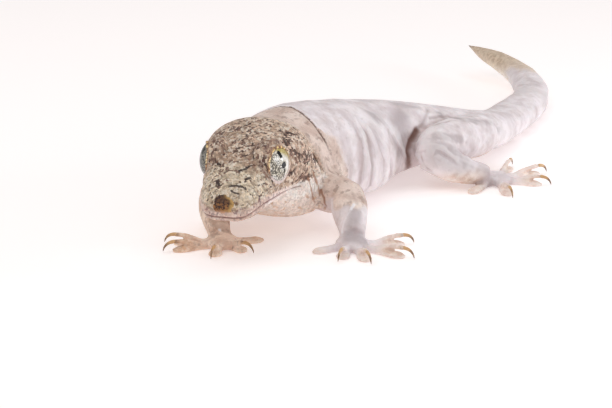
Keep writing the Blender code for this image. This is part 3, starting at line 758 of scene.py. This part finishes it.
class Look:
    """A material under way, with one method that adds every kind of node."""

    def __init__(self, name, **settings):
        self.material = bpy.data.materials.new(name)
        self.material.use_nodes = True
        self.tree = self.material.node_tree
        self.shader = self.tree.nodes["Principled BSDF"]
        for socket, value in settings.items():
            self.shader.inputs[socket.replace("_", " ").title()].default_value = value

    def add(self, kind, settings=None, sockets=None, out=0):
        """Adds a node, sets it up, fills its sockets and returns one of its outputs."""
        node = self.tree.nodes.new("ShaderNode" + kind)
        for key, value in (settings or {}).items():
            if key == "stops":
                self.set_stops(node.color_ramp, value)
            else:
                setattr(node, key, value)
        for key, value in (sockets or {}).items():
            self.fill(node.inputs[key], value)
        return Value(self, node.outputs[out])

    def set_stops(self, ramp, stops):
        while len(ramp.elements) < len(stops):
            ramp.elements.new(1.0)
        for element, (place, colour) in zip(ramp.elements, stops):
            element.position = place
            element.color = (*colour, 1.0)

    def fill(self, socket, value):
        if isinstance(value, Value):
            self.tree.links.new(value.socket, socket)
        elif isinstance(value, tuple) and len(value) == 3 and len(socket.default_value) == 4:
            socket.default_value = (*value, 1.0)
        else:
            socket.default_value = value

    def finish(self, **sockets):
        """Links what varies over the surface to the shader, and returns the material."""
        for name, value in sockets.items():
            self.fill(self.shader.inputs[name.replace("_", " ").title()], value)
        return self.material

    def places(self):
        """The place on the piece, in millimetres."""
        spot = self.add("TexCoord", out=3)
        return self.add("VectorMath", {"operation": "SCALE"}, {0: spot, "Scale": 1000.0})

    def kept(self, name):
        """The three numbers of an attribute."""
        triple = self.add("Attribute", {"attribute_name": name}, out=1)
        return [self.add("SeparateXYZ", None, {0: triple}, out) for out in range(3)]

    def step(self, value, low, high, bottom=0.0, top=1.0):
        """Goes smoothly from bottom to top as a value goes from low to high."""
        return self.add(
            "MapRange",
            {"interpolation_type": "SMOOTHSTEP"},
            {0: value, 1: low, 2: high, 3: bottom, 4: top},
        )

    def window(self, value, start, full, still, end):
        """1 from full to still, falling smoothly to 0 at start and end."""
        return self.step(value, start, full) * self.step(value, end, still)

    def fade(self, value, low, high, one, two):
        """Goes from one colour to another as a value goes from low to high."""
        return self.mix(self.step(value, low, high), one, two)

    def mix(self, share, one, two, blend="MIX"):
        settings = {"data_type": "RGBA", "blend_type": blend, "clamp_factor": True}
        return self.add("Mix", settings, {0: share, 6: one, 7: two}, 2)

    def noise(self, spot, size, detail=2.0, rough=0.5, twist=0.0):
        """Cloudy values whose lumps are about a size in millimetres."""
        sockets = {"Vector": spot, "Scale": 1 / size, "Detail": detail, "Roughness": rough}
        return self.add("TexNoise", None, sockets | {"Distortion": twist})

    def cells(self, spot, size, feature="F1", out=0):
        """Scales about a size across: distance from the middle, or a colour for each."""
        return self.add("TexVoronoi", {"feature": feature}, {"Vector": spot, "Scale": 1 / size}, out)

    def stretched(self, spot, scale):
        return self.add("VectorMath", {"operation": "MULTIPLY"}, {0: spot, 1: scale})

    def nudged(self, spot, size, reach):
        """Places pushed about by noise, so that a pattern on them isn't regular."""
        colour = self.add("TexNoise", None, {"Vector": spot, "Scale": 1 / size, "Detail": 1.0}, 1)
        push = self.add("VectorMath", {"operation": "SUBTRACT"}, {0: colour, 1: (0.5, 0.5, 0.5)})
        push = self.add("VectorMath", {"operation": "SCALE"}, {0: push, "Scale": reach * 2})
        return self.add("VectorMath", {"operation": "ADD"}, {0: spot, 1: push})

    def bump(self, height, reach, strength=1.0, before=None):
        """A normal bent by a height, whose full rise is a reach in millimetres."""
        sockets = {"Height": height, "Distance": reach * MM, "Strength": strength}
        if before is not None:
            sockets["Normal"] = before
        return self.add("Bump", None, sockets)


def skin_look():
    look = Look("gecko skin", subsurface_weight=0.10, subsurface_scale=0.0012)
    look.shader.inputs["Subsurface Radius"].default_value = (1.0, 0.45, 0.30)
    look.shader.inputs["Specular IOR Level"].default_value = 0.45
    spot = look.places()
    dark, pale, snout = look.kept("tint")
    lines, flush, crust = look.kept("face")
    worn, cavity, past = look.kept("moult")
    crisp, fold, nape = look.kept("neck")
    along, over, back = look.kept("lip")
    toes, nostril, joint = look.kept("limb")
    lid, above, ahead = look.kept("eye")
    crease_shade, shaded, white = look.kept("body")
    calm, tip_top, throat = look.kept("zone")
    arm, arm_dark, tip = look.kept("arm")

    # Each scale has three chance numbers, and clouds are read at its middle so that it is all one colour.
    loose = look.nudged(spot, 0.9, 0.25)
    scale = look.cells(loose, 0.56)
    tone = look.cells(loose, 0.56, out=1)
    middle_of = look.cells(loose, 0.56, out=2)
    each, other, third = (look.add("SeparateXYZ", None, {0: tone}, k) for k in range(3))
    large = look.noise(spot, 5.0, 3.0, 0.55)
    middle = look.noise(middle_of, 1.9, 2.0, 0.6)
    small = look.noise(spot, 0.8, 2.0, 0.6)
    lively = 1 - calm

    # Fresh skin: tan, greener on the snout, pinker behind the eye, cream under it.
    tan = look.fade(large, 0.38, 0.62, (0.40, 0.27, 0.19), (0.64, 0.475, 0.36))
    green = look.fade(middle, 0.36, 0.62, (0.42, 0.33, 0.235), (0.73, 0.61, 0.46))
    fresh = look.mix(look.step(snout + (large - 0.5) * 1.3, 0.25, 0.9) * 0.85, tan, green)
    fresh = look.mix(flush * 0.35, fresh, (0.72, 0.52, 0.41))
    soft_tan = look.fade(large, 0.34, 0.64, (0.62, 0.475, 0.41), (0.86, 0.73, 0.66))
    warm = look.fade(large, 0.4, 0.6, (0.66, 0.44, 0.32), (0.90, 0.70, 0.56))
    soft_tan = look.mix(arm * 0.75, soft_tan, warm)
    end = look.fade(large, 0.4, 0.6, (0.90, 0.76, 0.60), (0.96, 0.85, 0.72))
    end = look.mix(tip_top, end, look.fade(middle, 0.35, 0.65, (0.52, 0.39, 0.28), (0.72, 0.58, 0.45)))
    soft_tan = look.mix(tip, soft_tan, end)
    fresh = look.mix(calm, fresh, soft_tan)
    cream = look.fade(middle, 0.3, 0.7, (0.88, 0.76, 0.69), (0.97, 0.92, 0.88))
    fresh = look.fade(pale + (middle - 0.5) * 0.6, 0.25, 0.75, fresh, cream)
    fresh = look.mix(throat * 0.45, fresh, (0.86, 0.68, 0.58))
    depth = lively * look.step(pale, 1.0, 0.3, 0.35, 1.0)
    slight = look.step(each, 0.0, 1.0, -0.06, 0.05)
    shade = 1 + depth * look.step(each, 0.0, 1.0, -0.36, 0.30) + (1 - depth) * slight
    shade_colour = look.add("CombineXYZ", None, {0: shade, 1: shade, 2: shade})
    fresh = look.mix(1.0, fresh, shade_colour, "MULTIPLY")

    # Light scales in little groups, then dark ones where the markings are.
    light = look.step(look.noise(middle_of, 1.6, 1.0) * 0.8 + third * 0.30, 0.58, 0.68)
    fresh = look.mix(light * 0.62 * lively * look.step(pale, 0.9, 0.4), fresh, (0.88, 0.78, 0.67))
    blot = look.step(look.noise(middle_of, 0.85, 1.0) + (other - 0.5) * 0.2, 0.60, 0.66) * 0.4
    grain = look.noise(middle_of, 1.15, 2.0, 0.6)
    chance = dark * 0.50 + (grain - 0.5) * 2.1 + (middle - 0.5) * 1.2 + (large - 0.5) * 1.4
    chance = chance + blot - snout * 0.04
    fleck = look.step(chance - other * 0.60, 0.02, 0.20) * look.step(pale, 1.0, 0.4, 0.06, 1.0) * lively
    brown = look.fade(each, 0.2, 0.8, (0.045, 0.018, 0.014), (0.20, 0.10, 0.07))
    fresh = look.mix(fleck * 0.92, fresh, brown)
    line = look.step(lines + (each - 0.5) * 0.45 + (middle - 0.5) * 1.1 + (small - 0.5) * 0.6, 0.36, 0.62)
    fresh = look.mix(line * 0.92, fresh, (0.030, 0.014, 0.013))

    # Off the head the markings are soft and sparse; the right arm has brown patches.
    cloud_marks = look.step(look.noise(spot, 2.4, 2.0) + (other - 0.5) * 0.12, 0.56, 0.68)
    cloud_marks = cloud_marks * calm * (1 - tip)
    fresh = look.mix(nape * 0.35, fresh, (0.60, 0.44, 0.37))
    fresh = look.mix(cloud_marks * (0.50 + nape * 0.25), fresh, (0.36, 0.25, 0.205))
    rust = look.step(look.noise(spot, 1.7, 1.0), 0.58, 0.68) * (throat + toes * calm)
    fresh = look.mix(rust * 0.6, fresh, (0.66, 0.38, 0.20))
    arm_mark = look.step(arm_dark * 0.8 + (small - 0.5) * 0.7 + (middle - 0.5) * 1.6, 0.35, 0.60)
    fresh = look.mix(arm_mark * 0.45, fresh, (0.26, 0.145, 0.10))

    # The lips: a little pinker, with dark spots, and painted shade along the line of the mouth.
    lip = look.window(over, -2.0, -1.4, 1.3, 2.1) * look.step(back, 27.0, 20.0) * lively
    fresh = look.mix(lip * 0.42, fresh, (0.80, 0.60, 0.56))
    blotch = look.step(look.noise(middle_of, 0.95, 1.0), 0.56, 0.64) * look.window(over, 0.1, 0.5, 1.6, 3.2)
    fresh = look.mix(blotch * look.step(back, 22.0, 12.0) * lively * 0.72, fresh, (0.24, 0.115, 0.12))
    # Painted shade along the line of the mouth.
    mouth = look.window(over, -0.34, -0.06, 0.06, 0.34) * look.step(back, 29.5, 16.0, 0.35, 1.0)
    fresh = look.mix(mouth * look.step(back, 30.0, 28.5) * lively * 0.8, fresh, (0.26, 0.12, 0.115))

    # The lids: brown under their gold scales above, pale below, with a thin dark edge of painted shade
    # where the lid meets the ball, darkest above.
    rim = look.step(lid + (small - 0.5) * 0.5, 5.50, 5.25)
    edge = look.fade(middle, 0.38, 0.58, (0.20, 0.10, 0.06), (0.46, 0.28, 0.17))
    edge = look.fade(above, -2.6, 0.4, (0.82, 0.68, 0.65), edge)
    fresh = look.mix(rim * 0.85, fresh, edge)
    # Painted shade where the lid meets the ball, darkest above.
    painted_lid_shade = look.step(lid, 4.75, 4.60) * look.step(above, -3.0, 1.0, 0.5, 0.92)
    fresh = look.mix(painted_lid_shade, fresh, (0.05, 0.035, 0.022))
    ring = look.window(lid, 5.6, 6.0, 6.6, 7.4) * look.step(above + ahead * 0.8, -1.5, 2.5)
    fresh = look.mix(ring * look.step(middle, 0.40, 0.54) * 0.7, fresh, (0.13, 0.06, 0.045))

    # The dried crust on the snout, and the nostrils' holes filled with painted shade.
    scab = look.step(crust + (small - 0.5) * 0.9, 2.85, 2.60)
    grain = look.noise(spot, 0.75, 2.0, 0.6)
    clot = look.fade(grain, 0.40, 0.58, (0.05, 0.018, 0.012), (0.36, 0.16, 0.05))
    clot = look.mix(look.step(over + (small - 0.5) * 1.6, 3.0, 5.2) * 0.75, clot, (0.045, 0.02, 0.018))
    side = look.step(crust + (small - 0.5) * 0.8, 1.5, 2.5) * look.step(along, -0.8, 1.8)
    clot = look.mix(side * 0.85, clot, (0.62, 0.38, 0.13))
    clot = look.mix(look.step(over, 2.4, 1.4) * 0.8, clot, (0.62, 0.36, 0.24))
    fresh = look.mix(scab, fresh, clot)
    # Painted shade: the nostrils' holes are dark.
    fresh = look.fade(nostril, 0.62, 0.42, fresh, (0.03, 0.012, 0.01))

    # Old skin: pale, cool and thin, with the fresh skin showing faintly through it.
    cloud = look.noise(look.stretched(spot, (1.0, 1.0, 0.45)), 7.0, 4.0, 0.6)
    old = look.fade(cloud, 0.33, 0.67, (0.66, 0.575, 0.585), (0.86, 0.79, 0.805))
    through = look.step(large + middle * 0.6, 0.76, 0.98)
    old = look.mix(through * 0.30, old, (0.52, 0.43, 0.40))
    specks = look.step(other + (middle - 0.5) * 0.8, 0.96, 1.05)
    old = look.mix(specks * 0.20, old, (0.38, 0.30, 0.28))
    # Painted shade on the old skin along the shaded strokes.
    old = look.mix(look.step(shaded + (cloud - 0.5) * 0.7, 0.25, 0.85) * 0.58, old, (0.36, 0.30, 0.305))
    cover = look.step(worn + (large - 0.5) * 0.5 + (small - 0.5) * 0.3, 0.30, 0.70)
    colour = look.mix(cover, fresh, old)
    # Painted shadow: a dark line just under the edge of the old skin behind the neck.
    painted_edge_shadow = look.window(past + (small - 0.5) * 0.9, -0.65, -0.30, 0.15, 0.45)
    painted_edge_shadow = painted_edge_shadow * crisp * look.step(middle, 0.30, 0.50, 0.45, 0.9)
    colour = look.mix(painted_edge_shadow, colour, (0.10, 0.055, 0.04))
    colour = look.mix(look.step(fold + (small - 0.5) * 0.6, 0.35, 0.75) * 0.75, colour, (0.42, 0.20, 0.11))

    # Toes warmer than the palms, painted shade in hollows (redder on fresh skin, grey-violet on old) and
    # deep creases, painted light on the old skin's ridges, and the lifted hem white.
    toe = look.fade(middle, 0.35, 0.65, (0.66, 0.40, 0.24), (0.92, 0.75, 0.60))
    colour = look.mix(toes * 0.62, colour, toe)
    last = look.fade(small, 0.42, 0.58, (0.24, 0.115, 0.055), (0.64, 0.41, 0.22))
    colour = look.mix(look.step(joint + (small - 0.5) * 0.5, 0.25, 0.85) * 0.85, colour, last)
    # Painted shade in the hollows, less on the lips.
    painted_hollow_shade = look.step(cavity, 0.03, 0.30) * (1 - lip * 0.8)
    colour = look.mix(painted_hollow_shade * 0.55, colour, look.mix(cover, (0.30, 0.16, 0.11), (0.40, 0.295, 0.285)))
    # Painted shade in the deep creases, such as the groin.
    painted_crease_shade = look.step(crease_shade + (cloud - 0.5) * 0.5, 0.05, 1.0)
    colour = look.mix(painted_crease_shade * 0.90, colour, (0.17, 0.075, 0.052))
    # Painted light on the old skin's raised ridges.
    painted_ridge_light = look.step(cavity, -0.02, -0.16) * cover
    colour = look.mix(painted_ridge_light * 0.30, colour, (0.94, 0.90, 0.905))
    colour = look.mix(look.step(white + (small - 0.5) * 0.4, 0.45, 0.85) * 0.7, colour, (0.92, 0.90, 0.93))

    dome = 1 - scale * 1.0
    fine = look.noise(look.stretched(spot, (1.0, 1.0, 0.35)), 0.55, 3.0, 0.6)
    scaly = look.step(cover, 0.0, 1.0, 1.0, 0.35) * look.step(calm, 0.0, 1.0, 1.0, 0.6)
    flat = 1 - lip * 0.5
    normal = look.bump(dome * scaly * flat, 0.30, 0.9)
    normal = look.bump(fine, 0.12, 0.5, normal)
    rough = look.step(scale, 0.1, 0.7, 0.46, 0.72)
    return look.finish(base_color=colour, roughness=rough, normal=normal)


def make_skin():
    full = one_surface()
    drop_bubbles(full)
    refine_head(full)
    shape_skin(full)
    mesh, source = thin_out(full)
    # The hollows become painted shade and painted light in the skin's colour, faded out near the palms.
    mark_skin(mesh, hollows(full)[source] * ease(from_palms(read_places(mesh)), 4, 10))
    mesh.shade_smooth()
    mesh.normals_split_custom_set_from_vertices(read_normals(full)[source])
    bpy.data.meshes.remove(full)
    mesh.materials.clear()
    mesh.materials.append(skin_look())
    skin = new_object("skin", mesh)
    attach(skin, "root")
    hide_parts(*FLESH)
    return BVHTree.FromPolygons([v.co for v in mesh.vertices], [p.vertices for p in mesh.polygons])


# Eyes.

# The right eye is darker with painted shade, and its pupil is wider by one over this.
SHADED_EYE = 0.4
# The wider places of the pupil's slit: height, half of their own height, half width.
PUPIL_BEADS = ((3.15, 1.10, 0.52), (0.05, 0.95, 0.88), (-1.7, 0.80, 0.34), (-3.2, 0.7, 0.20))


def eye_look(name, shade):
    """A silver iris with black veins and a beaded slit, under a wet clear surface, darkened by the share of
    painted shade given.
    """
    look = Look(name, roughness=0.45, coat_weight=1.0, coat_roughness=0.02)
    look.shader.inputs["Specular IOR Level"].default_value = 0.1
    look.shader.inputs["Coat IOR"].default_value = 1.38
    forward, up, out = look.kept("eye_place")
    spot = look.add("CombineXYZ", None, {0: forward, 1: up, 2: out})
    large = look.noise(spot, 2.2, 2.0)
    fine = look.noise(spot, 0.35, 2.0)
    silver = look.fade(large, 0.4, 0.6, (0.68, 0.63, 0.52), (0.95, 0.93, 0.88))
    gold = look.fade(fine, 0.4, 0.6, (0.40, 0.31, 0.09), (0.72, 0.60, 0.25))
    upper = up * 0.75 - forward * 0.85 + (large - 0.5) * 2.4
    iris = look.fade(upper, 2.2, 4.0, silver, gold)
    bent = look.nudged(spot, 0.5, 0.24)
    vein = look.cells(look.stretched(bent, (1.0, 0.7, 1.0)), 0.55, "DISTANCE_TO_EDGE")
    ahead = look.step(forward, -0.6, 1.6)
    web = look.step(vein + (large - 0.5) * 0.36, 0.11, 0.06) * look.step(ahead, 0.0, 1.0, 0.22, 1.0)
    dots = look.step(look.cells(bent, 0.60), 0.32, 0.22)
    dots = dots * look.step(ahead, 0.0, 1.0, 0.1, 1.0) * look.step(large, 0.36, 0.5)
    iris = look.mix(web * 0.86, iris, (0.03, 0.025, 0.02))
    iris = look.mix(dots * 0.95, iris, (0.012, 0.010, 0.009))
    sway = forward - 0.25 + up * 0.10 + (look.noise(spot, 1.3, 1.0) - 0.5) * 0.5
    width = 0.06
    for middle, tall, wide in PUPIL_BEADS:
        place = (up - middle) / tall
        width = width + wide * look.step(place * place, 1.0, 0.35)
    width = width * look.step(look.add("Math", {"operation": "ABSOLUTE"}, {0: up}), 4.7, 4.0)
    aside = look.add("Math", {"operation": "ABSOLUTE"}, {0: sway})
    slit = look.step(aside - width, 0.05, -0.05)
    iris = look.mix(slit, iris, (0.004, 0.004, 0.004))
    # Painted shade: the iris is darkened towards olive-black by the share given.
    iris = look.mix(shade, iris, (0.035, 0.028, 0.018))
    return look.finish(base_color=iris, normal=look.bump(web, 0.03, -0.5))


def make_eye(name, side, material):
    """A finer ball in the place of the plain one."""
    middle, forward, upward, outward = eye_frame(side)
    bm = bmesh.new()
    bmesh.ops.create_uvsphere(bm, u_segments=64, v_segments=40, radius=1.0)
    turn = Matrix((forward, upward, outward)).transposed().to_4x4()
    sizes = Matrix.Diagonal((EYE_RADIUS * MM, EYE_RADIUS * MM, EYE_THICKNESS * MM, 1.0))
    bmesh.ops.transform(bm, matrix=Matrix.Translation(ORIGIN + middle * MM) @ turn @ sizes, verts=bm.verts)
    bmesh.ops.recalc_face_normals(bm, faces=bm.faces)
    mesh = bpy.data.meshes.new(name + "_ball")
    bm.to_mesh(mesh)
    bm.free()
    places = in_eye(read_places(mesh), side) * (1.0 if side > 0 else SHADED_EYE, 1.0, 1.0)
    attribute(mesh, "eye_place", *places.T)
    mesh.shade_smooth()
    mesh.materials.append(material)
    ball = new_object(name + "_ball", mesh)
    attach(ball, "root")
    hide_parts(name)


# The scales on the rims of the lids.

RIM_RADIUS = 4.9
RIM_SIZE = 0.43
RIM_COUNT = 38
# How far from the eye's middle the rim's crest is looked for, and from how far outside.
RIM_SEARCH = (4.55, 5.35)
RIM_START = 8


def rim_tree():
    """A flat ring of small round scales of unlike sizes, smaller where it is lower."""
    tree = bpy.data.node_groups.new("ring of scales", "GeometryNodeTree")
    for name, kind, value in (
        ("Count", "NodeSocketInt", RIM_COUNT),
        ("Radius", "NodeSocketFloat", RIM_RADIUS),
        ("Size", "NodeSocketFloat", RIM_SIZE),
        ("Seed", "NodeSocketInt", 7),
    ):
        tree.interface.new_socket(name, in_out="INPUT", socket_type=kind).default_value = value
    tree.interface.new_socket("Material", in_out="INPUT", socket_type="NodeSocketMaterial")
    tree.interface.new_socket("Geometry", in_out="OUTPUT", socket_type="NodeSocketGeometry")

    def add(kind, sockets=None, out=0, **settings):
        node = tree.nodes.new(kind)
        for key, value in settings.items():
            setattr(node, key, value)
        for key, value in (sockets or {}).items():
            found = [s for s in node.inputs if s.enabled and s.name == key]
            socket = found[0] if found else node.inputs[key]
            if isinstance(value, bpy.types.NodeSocket):
                tree.links.new(value, socket)
            else:
                socket.default_value = value
        return node.outputs[out]

    given = tree.nodes.new("NodeGroupInput").outputs
    ring = add("GeometryNodeMeshCircle", {"Vertices": given["Count"], "Radius": given["Radius"]})
    scale = add("GeometryNodeMeshUVSphere", {"Segments": 8, "Rings": 6, "Radius": 1.0})
    turn = add("ShaderNodeMath", {0: math.tau, 1: given["Count"]}, operation="DIVIDE")
    turn = add("ShaderNodeMath", {0: turn, 1: add("GeometryNodeInputIndex")}, operation="MULTIPLY")
    turn = add("ShaderNodeCombineXYZ", {"Z": turn})
    chance = {"Min": 0.7, "Max": 1.15, "Seed": given["Seed"]}
    size = add("FunctionNodeRandomValue", chance, 1, data_type="FLOAT")
    size = add("ShaderNodeMath", {0: size, 1: given["Size"]}, operation="MULTIPLY")
    level = add("ShaderNodeSeparateXYZ", {0: add("GeometryNodeInputPosition")}, 1)
    lower = {"Value": level, "From Min": -3.5, "From Max": 1.0, "To Min": 0.5, "To Max": 1.0}
    level = add("ShaderNodeMapRange", lower)
    size = add("ShaderNodeMath", {0: size, 1: level}, operation="MULTIPLY")
    size = add("ShaderNodeVectorMath", {0: (0.85, 1.1, 0.75), "Scale": size}, operation="SCALE")
    made = {"Points": ring, "Instance": scale, "Rotation": turn, "Scale": size}
    made = add("GeometryNodeInstanceOnPoints", made)
    made = add("GeometryNodeRealizeInstances", {"Geometry": made})
    made = add("GeometryNodeSetMaterial", {"Geometry": made, "Material": given["Material"]})
    tree.links.new(made, tree.nodes.new("NodeGroupOutput").inputs[0])
    return tree


def rim_look():
    """Gold and orange scales above, with brown ones among them, and pale pink ones below."""
    look = Look("lid scales", roughness=0.42)
    lid, above, ahead = look.kept("eye")
    spot = look.add("CombineXYZ", None, {0: lid, 1: above, 2: ahead})
    patch = look.noise(spot, 0.9, 1.0)
    gold = look.fade(look.noise(spot, 1.3, 1.0), 0.42, 0.58, (0.80, 0.44, 0.22), (0.93, 0.74, 0.42))
    gold = look.mix(look.step(patch, 0.44, 0.52) * 0.9, gold, (0.20, 0.085, 0.05))
    rear = look.step(above - ahead * 0.9, 2.8, 4.4) * look.step(patch, 0.52, 0.46)
    gold = look.mix(rear, gold, (0.95, 0.70, 0.30))
    colour = look.fade(above, -2.4, -0.2, (0.86, 0.74, 0.72), gold)
    dull = look.step(ahead, -1.0, -2.5) * look.step(above, 3.2, 1.5)
    colour = look.mix(dull * 0.7, colour, (0.56, 0.45, 0.26))
    return look.finish(base_color=colour)


def rim_crest(tree, side, angles):
    """Where the lid's rim is highest at each angle round an eye: reach from its middle, and height."""
    middle, forward, upward, outward = eye_frame(side)
    crest = []
    for angle in angles:
        best = (RIM_RADIUS, 2.0)
        for reach in np.linspace(*RIM_SEARCH, 9):
            way = forward * math.cos(angle) + upward * math.sin(angle)
            start = ORIGIN + (middle + way * reach + outward * RIM_START) * MM
            hit = tree.ray_cast(start, -outward)[3]
            height = RIM_START - hit / MM if hit is not None else 0.0
            if height > best[1]:
                best = (reach, height)
        crest.append(best)
    return np.array(crest)


def make_rim(side, skin, tree, material):
    """The ring of scales, laid along the crest of the lid's rim."""
    name = "lid_scales_" + ("left" if side > 0 else "right")
    thing = new_object(name, bpy.data.meshes.new("no scales"))
    grown = thing.modifiers.new("scales", "NODES")
    grown.node_group = tree
    inputs = {i.name: i.identifier for i in tree.interface.items_tree if i.in_out == "INPUT"}
    values = {
        "Count": RIM_COUNT,
        "Radius": RIM_RADIUS,
        "Size": RIM_SIZE,
        "Seed": 7 + side,
        "Material": material,
    }
    for key, value in values.items():
        grown[inputs[key]] = value
    mesh = shown_mesh(thing)
    flat = np.empty(len(mesh.vertices) * 3, np.float32)
    mesh.vertices.foreach_get("co", flat)
    flat = flat.reshape(-1, 3).astype(float)
    angles = np.linspace(-math.pi, math.pi, 73)
    crest = rim_crest(skin, side, angles)
    at = np.arctan2(flat[:, 1], flat[:, 0])
    reach = np.hypot(flat[:, 0], flat[:, 1])
    moved = reach - RIM_RADIUS + np.interp(at, angles, crest[:, 0], period=math.tau)
    flat[:, 2] += np.interp(at, angles, crest[:, 1], period=math.tau)
    flat[:, :2] *= (moved / reach)[:, None]
    middle, *ways = eye_frame(side)
    write_places(mesh, flat @ np.array([list(way) for way in ways]) + np.array(middle))
    if side < 0:
        mesh.flip_normals()
    places = in_eye(read_places(mesh), side)
    attribute(mesh, "eye", np.hypot(places[:, 0], places[:, 1]), places[:, 1], places[:, 0])
    mesh.shade_smooth()
    mesh.name = name
    ring = new_object(name, mesh)
    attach(ring, "root")


# Claws.

# How many sides a claw of the CAD has, how much thicker it is drawn, and how far its root is sunk.
CLAW_SIDES = 6
CLAW_FATTER = 1.05
CLAW_SUNK = 0.8


def claw_look():
    """Horn that is gold at the root and brown further on, with paler gold clouds, and darker at the point.
    """
    look = Look("claw horn", roughness=0.32, coat_weight=0.3, coat_roughness=0.15)
    along = look.kept("claw_place")[0]
    grain = look.noise(look.places(), 0.8, 2.0)
    colour = look.fade(along + (grain - 0.5) * 0.9, 0.10, 0.55, (0.60, 0.35, 0.16), (0.20, 0.10, 0.05))
    colour = look.mix(look.step(grain, 0.50, 0.62) * 0.5, colour, (0.62, 0.42, 0.20))
    colour = look.mix(look.step(along, 0.80, 1.0) * 0.6, colour, (0.12, 0.06, 0.04))
    return look.finish(base_color=colour, normal=look.bump(grain, 0.05, 0.4))


def make_claw(name, material):
    """A claw's own smooth shape, with its root sunk into the toe."""
    mesh = merged_copy(name)
    places = read_places(mesh)
    tip = places[np.argmax(np.linalg.norm(places - places[from_own_palm(places).argmin()], axis=1))]
    order = np.argsort(-np.linalg.norm(places - tip, axis=1))
    for first in range(0, len(order) - CLAW_SIDES, CLAW_SIDES):
        ring = order[first : first + CLAW_SIDES]
        places[ring] = places[ring].mean(0) + (places[ring] - places[ring].mean(0)) * CLAW_FATTER
    root, after = (places[order[k : k + CLAW_SIDES]].mean(0) for k in (0, CLAW_SIDES))
    way = (root - after) / np.linalg.norm(root - after)
    places[order[:CLAW_SIDES]] += way * CLAW_SUNK
    write_places(mesh, places)
    thing = new_object(name, mesh)
    finer = thing.modifiers.new("finer", "SUBSURF")
    finer.levels = finer.render_levels = 2
    mesh = shown_mesh(thing)
    mesh.name = name + "_horn"
    places = read_places(mesh)
    along = 1 - np.linalg.norm(places - tip, axis=1) / np.linalg.norm(root - tip)
    attribute(mesh, "claw_place", along, along, along)
    mesh.shade_smooth()
    mesh.materials.clear()
    mesh.materials.append(material)
    horn = new_object(name + "_horn", mesh)
    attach(horn, "root")
    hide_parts(name)


# The studio.


def make_floor():
    bpy.ops.mesh.primitive_plane_add(size=8.0, location=(0, 0, CAD_BOX[0].z))
    floor = bpy.context.object
    floor.name = "studio_floor"
    look = Look("pale floor", base_color=(0.88, 0.86, 0.86, 1.0), roughness=0.7)
    look.shader.inputs["Emission Color"].default_value = (1.0, 0.90, 0.88, 1.0)
    look.shader.inputs["Emission Strength"].default_value = 0.29
    floor.data.materials.append(look.material)


def make_light(name, place, aim, size, power, colour):
    data = bpy.data.lights.new(name, "AREA")
    data.energy = power
    data.size = size
    data.color = colour
    lamp = bpy.data.objects.new(name, data)
    bpy.context.scene.collection.objects.link(lamp)
    lamp.location = place
    lamp.rotation_euler = (Vector(aim) - Vector(place)).to_track_quat("-Z", "Y").to_euler()


def make_studio():
    make_floor()
    make_light("soft key", (-0.35, -0.45, 0.9), (0, 0, 0), 0.9, 3.9, (1.0, 0.985, 0.97))
    make_light("soft fill", (0.8, -0.5, 0.5), (0, 0, 0), 0.9, 1.9, (1.0, 0.98, 0.98))
    make_light("soft top", (0.1, 0.4, 1.0), (0, 0, 0), 0.9, 2.2, (1.0, 1.0, 1.0))
    make_light("side light", (0.376, 0.086, 0.098), (-0.013, -0.112, 0.025), 0.095, 0.5, (0.86, 0.93, 1.0))
    world = bpy.data.worlds.new("white studio")
    world.use_nodes = True
    world.node_tree.nodes["Background"].inputs["Color"].default_value = (1.0, 0.985, 0.98, 1.0)
    world.node_tree.nodes["Background"].inputs["Strength"].default_value = 0.40
    bpy.context.scene.world = world
    bpy.context.scene.view_settings.view_transform = "Standard"


def make_camera():
    """A long lens from the animal's left front, a little above its back."""
    turn, lift = math.radians(20), math.radians(17)
    back = Vector((math.sin(turn) * math.cos(lift), -math.cos(turn) * math.cos(lift), math.sin(lift)))
    right = Vector((math.cos(turn), math.sin(turn), 0))
    up = back.cross(right)
    aim = Vector((0, -16, 22))
    reach = 470.0
    ray = -back + right * ((243 - 306) / 1700) + up * ((204 - 175) / 1700)
    data = bpy.data.cameras.new("camera")
    data.sensor_width = 36.0
    data.lens = 100.0
    data.clip_start = 0.01
    camera = bpy.data.objects.new("camera", data)
    bpy.context.scene.collection.objects.link(camera)
    camera.location = ORIGIN + (aim - ray * reach) * MM
    camera.rotation_euler = (-back).to_track_quat("-Z", "Y").to_euler()
    bpy.context.scene.camera = camera


skin = make_skin()
rim = rim_look()
scales = rim_tree()
make_rim(1, skin, scales, rim)
make_rim(-1, skin, scales, rim)
make_eye("eye_left", 1, eye_look("gecko eye", 0.0))
make_eye("eye_right", -1, eye_look("shaded gecko eye", 0.72))
horn = claw_look()
for claw in CLAWS:
    make_claw(claw, horn)
make_studio()
make_camera()
